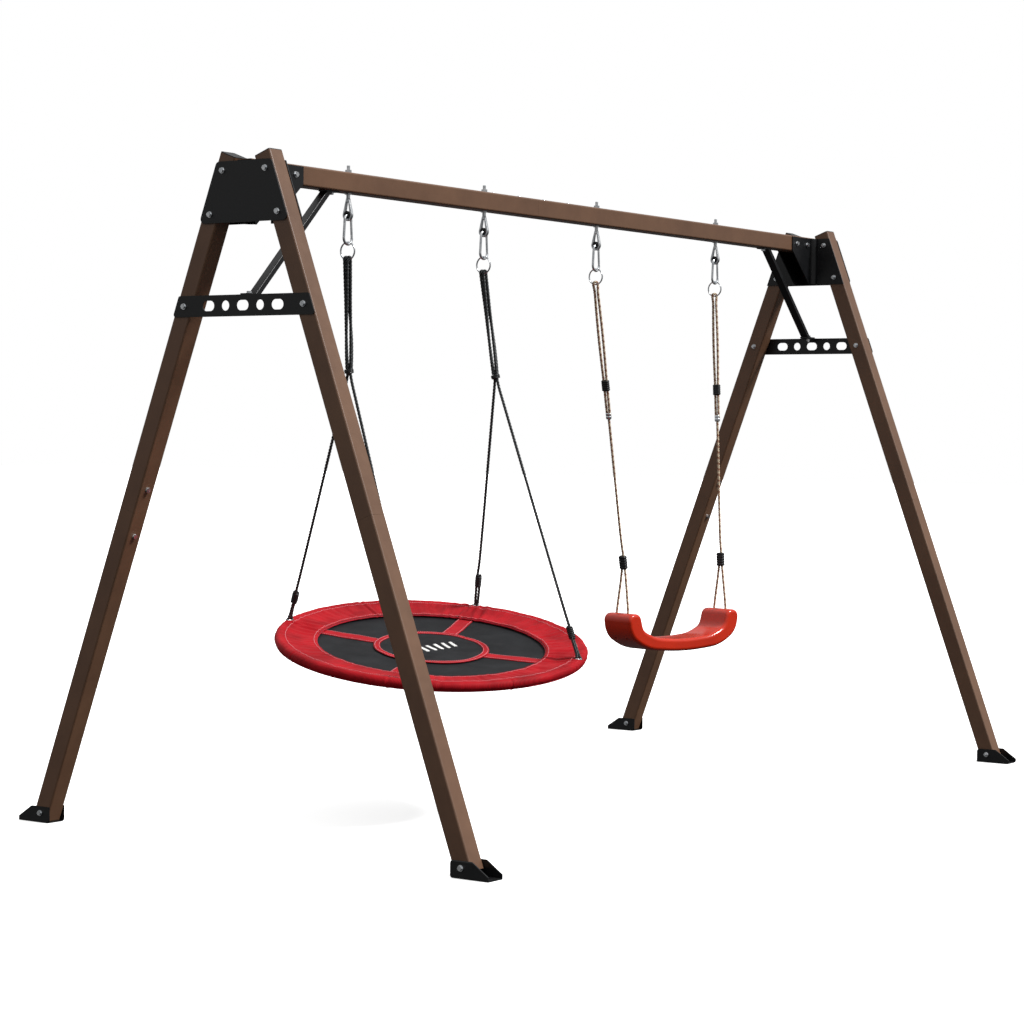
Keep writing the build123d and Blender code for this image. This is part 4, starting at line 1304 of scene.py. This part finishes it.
    def rope_route(self, end: str, row: int) -> list[Vector]:
        """Control points of one rope, from its free end, over the ring and down to the hoop.

        Args:
            end: left or right.
            row: -1 at the front and 1 at the back.

        Returns:
            The route.
        """
        junction, top, low, hook, pull = self.rope_facts(end, row)
        x = self.hanger_x[end]
        heights = [1.408, 1.430, 1.462, 1.500, 1.540, 1.580, 1.620, 1.660, 1.700, 1.722]
        route = [self.bundle_point(end, row, True, h) for h in heights]
        lane, out = row * 0.0056, row * 0.0079
        over = self.ring_wire_z + 0.0086
        route += [Vector((x + out, lane, 1.7340)), Vector((x + out, lane, over))]
        route += [Vector((x - out, lane, over)), Vector((x - out, lane, 1.7340))]
        route += [self.bundle_point(end, row, False, h) for h in heights[:0:-1]]
        route += [junction + Vector((0, 0, 0.012)), junction + pull * 0.02, junction + pull * 0.06]
        angle = self.hook(end, row)[0]
        side = (self.polar(angle, 1, 0) - self.middle).normalized()
        tangent = self.up.cross(side)
        gap = tangent * 0.0054
        route += [top - pull * 0.06, top + gap * 0.8, low + gap]
        hoop = self.middle + side * self.hoop_radius
        loop = 0.0105
        for share, away, height in (
            (0.9, 0.001, 0.0215),
            (0.8, loop, 0.010),
            (0.4, loop, -loop),
            (-0.4, -loop, -loop),
            (-0.8, -loop, 0.010),
            (-0.9, -0.001, 0.0215),
        ):
            route.append(hoop + side * away + self.up * height + tangent * 0.0056 * share)
        return route + [low - gap + pull * 0.002, top - gap]

    def build_ropes(self) -> list[bpy.types.Object]:
        """Lay the four ropes, each with its wound knot, and tie the bundles.

        Returns:
            The rope and knot pieces.
        """
        made = []
        black = self.palette.get(Finish.BLACK_ROPE)
        for end in ("left", "right"):
            for row, row_name in ((-1, "front"), (1, "back")):
                junction, top, low, hook, pull = self.rope_facts(end, row)
                line = smooth_line(self.rope_route(end, row))
                rope = self.rope.build(f"nest_{end}_{row_name}_rope", line, black, self.body, "black_rope")
                coil = wound_coil((top + low) / 2, pull, self.adjuster_length, 0.0088, 0.0052, 7)
                points, faces = tube_shape(coil, 0.0029, 8)
                name = f"nest_{end}_{row_name}_wound_knot"
                fitting = self.palette.get(Finish.FITTING)
                knot = mesh_piece(name, points, faces, [fitting], self.body)
                extra = [knot]
                if row < 0:
                    lean = self.bundle_middle(end, 1.41) - self.bundle_middle(end, 1.39)
                    tie = wound_coil(self.bundle_middle(end, 1.4015), lean, 0.016, 0.0130, 0.004, 3)
                    points, faces = tube_shape(tie, 0.0021, 8)
                    extra.append(
                        mesh_piece(f"nest_{end}_bundle_tie", points, faces, [black], self.body)
                    )
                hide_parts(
                    f"nest_rope_{end}_{row_name}",
                    f"nest_{end}_rope_hank",
                    "nest_rope_tails",
                    "nest_rope_adjusters",
                )
                made += [rope, *extra]
        return made

    def build_eyelets(self) -> list[bpy.types.Object]:
        """Set a pressed eyelet in the cover where each rope goes in.

        Returns:
            The eyelets, as one piece.
        """
        points: list = []
        faces: list = []
        for angle in self.hook_angles():
            for k in range(2):
                ring = []
                for i in range(41):
                    turn = 2 * math.pi * i / 40
                    out = 0.0088 * math.cos(turn) * (1 - 0.14 * k)
                    tangent = 0.0135 * math.sin(turn) * (1 - 0.14 * k)
                    height = math.sqrt(max(0.0, self.roll**2 - out**2)) + 0.0004 + 0.0008 * k
                    spot = self.polar(angle, self.hoop_radius + out, height)
                    spot += self.up.cross(self.polar(angle, 1, 0) - self.middle) * tangent
                    ring.append(spot[:])
                new_points, new_faces = tube_shape(np.array(ring), 0.0013, 8, len(points))
                points += new_points
                faces += new_faces
        zinc = self.palette.get(Finish.ZINC)
        return [mesh_piece("nest_cover_eyelets", points, faces, [zinc], self.body)]

    def build(self) -> None:
        """Build every piece of the nest and report each one."""
        for made in (
            [self.build_cover()],
            self.build_trim(),
            [self.build_mat()],
            self.build_straps(),
            self.build_patch(),
            self.build_ropes(),
            self.build_eyelets(),
        ):
            for piece in made:
                log.info("built %s", piece.name)


# ---------------------------------------------------------------------------- seat swing
@dataclass
class SeatSwing:
    """The curved seat on two beige ropes with their adjusters and clamps."""

    palette: Palette
    middle_x: float = 0.675
    turn: float = math.radians(-13.0)
    hanger_x: dict[str, float] = field(default_factory=lambda: {"left": 0.145, "right": 0.945})
    hold: float = 0.251  # rope holes each side of the middle
    hole_y: float = 0.029
    ring_wire_z: float = 1.7378
    adjuster_z: float = 1.390
    collar_z: float = 1.284
    clamp_z: float = 0.762
    rope: RopeLay = field(default_factory=lambda: RopeLay(0.010, 3, 0.027))
    body: str = "seat"

    def run(self, end: str) -> tuple[Vector, Vector]:
        """Top and direction of one rope's straight run."""
        top = Vector((self.hanger_x[end], 0, 1.735))
        low = self.on_seat(self.hold if end == "right" else -self.hold, 0, self.clamp_z)
        return top, (low - top).normalized()

    def on_seat(self, x: float, y: float, z: float) -> Vector:
        """Point over the turned seat, from its own middle."""
        c, s = math.cos(self.turn), math.sin(self.turn)
        return Vector((self.middle_x + x * c - y * s, x * s + y * c, z))

    def at(self, end: str, height: float, side: float = 0.0) -> Vector:
        """Point on a rope's run at a height, moved sideways along Y."""
        top, pull = self.run(end)
        return top + pull * ((height - top.z) / pull.z) + Vector((0, side, 0))

    def upper_route(self, end: str) -> list[Vector]:
        """Control points of the doubled rope, from the collar over the ring and back."""
        x = self.hanger_x[end]
        wire = self.ring_wire_z + 0.0084
        lanes = (
            (self.collar_z, 0.0056), (1.300, 0.0056), (1.340, 0.0062), (self.adjuster_z, 0.0056),
            (1.44, 0.0070), (1.55, 0.0092), (1.66, 0.0078), (1.715, 0.0060),
        )
        down = [self.at(end, h, -side) for h, side in lanes]
        over = [
            Vector((x + 0.0078, -0.0050, 1.7350)), Vector((x + 0.0078, -0.0030, wire)),
            Vector((x - 0.0078, 0.0030, wire)), Vector((x - 0.0078, 0.0050, 1.7350)),
        ]
        up = [self.at(end, h, side) for h, side in reversed(lanes)]
        return down + over + up

    def lower_route(self, end: str) -> list[Vector]:
        """Control points of the single rope that ends as a loop through the seat."""
        x = self.hold if end == "right" else -self.hold
        run = [self.at(end, h) for h in (self.collar_z, 1.24, 1.10, 0.95, 0.85)]
        split = [self.at(end, 0.790, -0.003), self.at(end, 0.736, -0.0058)]
        front = [self.on_seat(x, -self.hole_y, h) for h in (0.592, 0.565, 0.535)]
        under = [self.on_seat(x, -self.hole_y, 0.513), self.on_seat(x, self.hole_y, 0.513)]
        back = [self.on_seat(x, self.hole_y, h) for h in (0.535, 0.565, 0.592)]
        return run + split + front + under + back + [self.at(end, 0.736, 0.0058), self.at(end, 0.765, 0.0052)]

    def build_ropes(self) -> list[bpy.types.Object]:
        """Lay both ropes of each side and set their moulded fittings.

        Returns:
            The rope and fitting pieces.
        """
        made = []
        beige, black = self.palette.get(Finish.BEIGE_ROPE), self.palette.get(Finish.FITTING)
        zinc = self.palette.get(Finish.ZINC)
        wide = Vector((0, 1, 0))
        for end in ("left", "right"):
            top, pull = self.run(end)
            fittings = []
            for name, height, profile, square, material in (
                ("adjuster", self.adjuster_z, ribbed_profile(0.040, 0.0135, 0.0095, 5, 0.0016), 4.0, black),
                ("collar", self.collar_z, ribbed_profile(0.024, 0.0098, 0.0078, 2, 0.0008), 2.6, zinc),
                ("clamp", self.clamp_z, ribbed_profile(0.050, 0.0140, 0.0105, 5, 0.0020), 4.0, black),
            ):
                points, faces = turned_shape(self.at(end, height), pull, wide, profile, square)
                fittings.append(
                    mesh_piece(f"seat_{end}_rope_{name}", points, faces, [material], self.body)
                )
            for name, route, extra in (
                ("upper", self.upper_route(end), fittings[:2]),
                ("lower", self.lower_route(end), fittings[2:]),
            ):
                line = smooth_line(route)
                rope = self.rope.build(f"seat_{end}_{name}_rope", line, beige, self.body, "beige_rope")
                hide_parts(f"seat_rope_{end}", "seat_rope_tails", "seat_rope_adjusters")
                made += [rope, *extra]
        return made

    def build(self) -> None:
        """Dress the moulded seat and build its ropes."""
        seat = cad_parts["swing_seat"]
        seat.data.materials.clear()
        seat.data.materials.append(self.palette.get(Finish.SEAT))
        for piece in self.build_ropes():
            log.info("built %s", piece.name)


# ---------------------------------------------------------------------------- studio
@dataclass
class Studio:
    """The camera, the pale floor and the soft light."""

    eye: Vector = field(default_factory=lambda: Vector((-7.365, -4.9855, 1.2063)))
    yaw: float = math.radians(35.351)
    pitch: float = math.radians(-1.502)
    roll: float = math.radians(0.673)
    lens: float = 91.19
    shift: tuple[float, float] = (-0.0006, -0.0069)

    def build_camera(self) -> None:
        """Set the camera at the eye, turned by yaw, pitch and roll."""
        data = bpy.data.cameras.new("camera")
        data.lens, data.sensor_width = self.lens, 36.0
        data.shift_x, data.shift_y = self.shift
        ahead = Vector(
            (
                math.cos(self.yaw) * math.cos(self.pitch),
                math.sin(self.yaw) * math.cos(self.pitch),
                math.sin(self.pitch),
            )
        )
        right = ahead.cross(Vector((0, 0, 1))).normalized()
        up = right.cross(ahead)
        c, s = math.cos(self.roll), math.sin(self.roll)
        right, up = right * c + up * s, up * c - right * s
        camera = bpy.data.objects.new("camera", data)
        camera.matrix_world = Matrix(
            (
                (right.x, up.x, -ahead.x, self.eye.x),
                (right.y, up.y, -ahead.y, self.eye.y),
                (right.z, up.z, -ahead.z, self.eye.z),
                (0, 0, 0, 1),
            )
        )
        bpy.context.scene.collection.objects.link(camera)
        bpy.context.scene.camera = camera

    def build_floor(self) -> None:
        """Lay the plain pale floor."""
        material, tree, shader = start_material("pale studio floor")
        grain = cloud(tree, 400.0, 3.0)
        tree.links.new(colour_between(tree, grain, "#fcfcfb", "#ffffff"), shader.inputs["Base Color"])
        shader.inputs["Roughness"].default_value = 0.9
        shader.inputs["Emission Color"].default_value = linear("#ffffff")
        shader.inputs["Emission Strength"].default_value = 0.62
        mesh = bpy.data.meshes.new("studio_floor")
        side = 60.0
        corners = [(-side, -side, 0), (side, -side, 0), (side, side, 0), (-side, side, 0)]
        mesh.from_pydata(corners, [], [(0, 1, 2, 3)])
        mesh.materials.append(material)
        floor = bpy.data.objects.new("studio_floor", mesh)
        floor.location.z = -0.0005
        bpy.context.scene.collection.objects.link(floor)
        floor.visible_diffuse = False
        floor.visible_glossy = False

    def build_light(self) -> None:
        """Light the set from the front right, with a pale surround."""
        world = bpy.data.worlds.new("studio")
        bpy.context.scene.world = world
        world.use_nodes = True
        tree = world.node_tree
        tree.nodes.clear()
        path = add_node(tree, "ShaderNodeLightPath")
        ahead = add_node(tree, "ShaderNodeTexCoord").outputs["Generated"]
        height = add_node(tree, "ShaderNodeSeparateXYZ", inputs={"Vector": ahead}).outputs["Z"]
        sky = add_node(
            tree,
            "ShaderNodeMapRange",
            inputs={"Value": height, "From Min": -0.3, "From Max": 0.8, "To Min": 0.05, "To Max": 0.74},
        ).outputs["Result"]
        strength = add_node(
            tree,
            "ShaderNodeMix",
            {"data_type": "FLOAT"},
            {0: path.outputs["Is Camera Ray"], 2: sky, 3: 1.0},
        )
        shade = add_node(
            tree,
            "ShaderNodeBackground",
            inputs={"Color": (1.0, 1.0, 1.0, 1.0), "Strength": strength.outputs[0]},
        )
        add_node(tree, "ShaderNodeOutputWorld", inputs={"Surface": shade.outputs["Background"]})
        sun = bpy.data.lights.new("key", "SUN")
        sun.energy, sun.angle = 3.55, math.radians(12.0)
        lamp = bpy.data.objects.new("key", sun)
        lamp.rotation_euler = Vector((0.25, -0.62, 0.74)).to_track_quat("Z", "Y").to_euler()
        bpy.context.scene.collection.objects.link(lamp)
        bpy.context.scene.view_settings.view_transform = "Standard"

    def build(self) -> None:
        """Build the studio."""
        self.build_camera()
        self.build_floor()
        self.build_light()


def main() -> None:
    """Build the whole set in order."""
    logging.basicConfig(level=logging.INFO, format="%(name)s: %(message)s")
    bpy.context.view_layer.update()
    palette = Palette()
    Studio().build()
    nest = NestSwing(palette)
    seat = SeatSwing(palette)
    SteelFrame(palette).dress(list(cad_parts))
    nest.build()
    seat.build()
    bpy.context.view_layer.update()


if __name__ == "__main__":
    main()
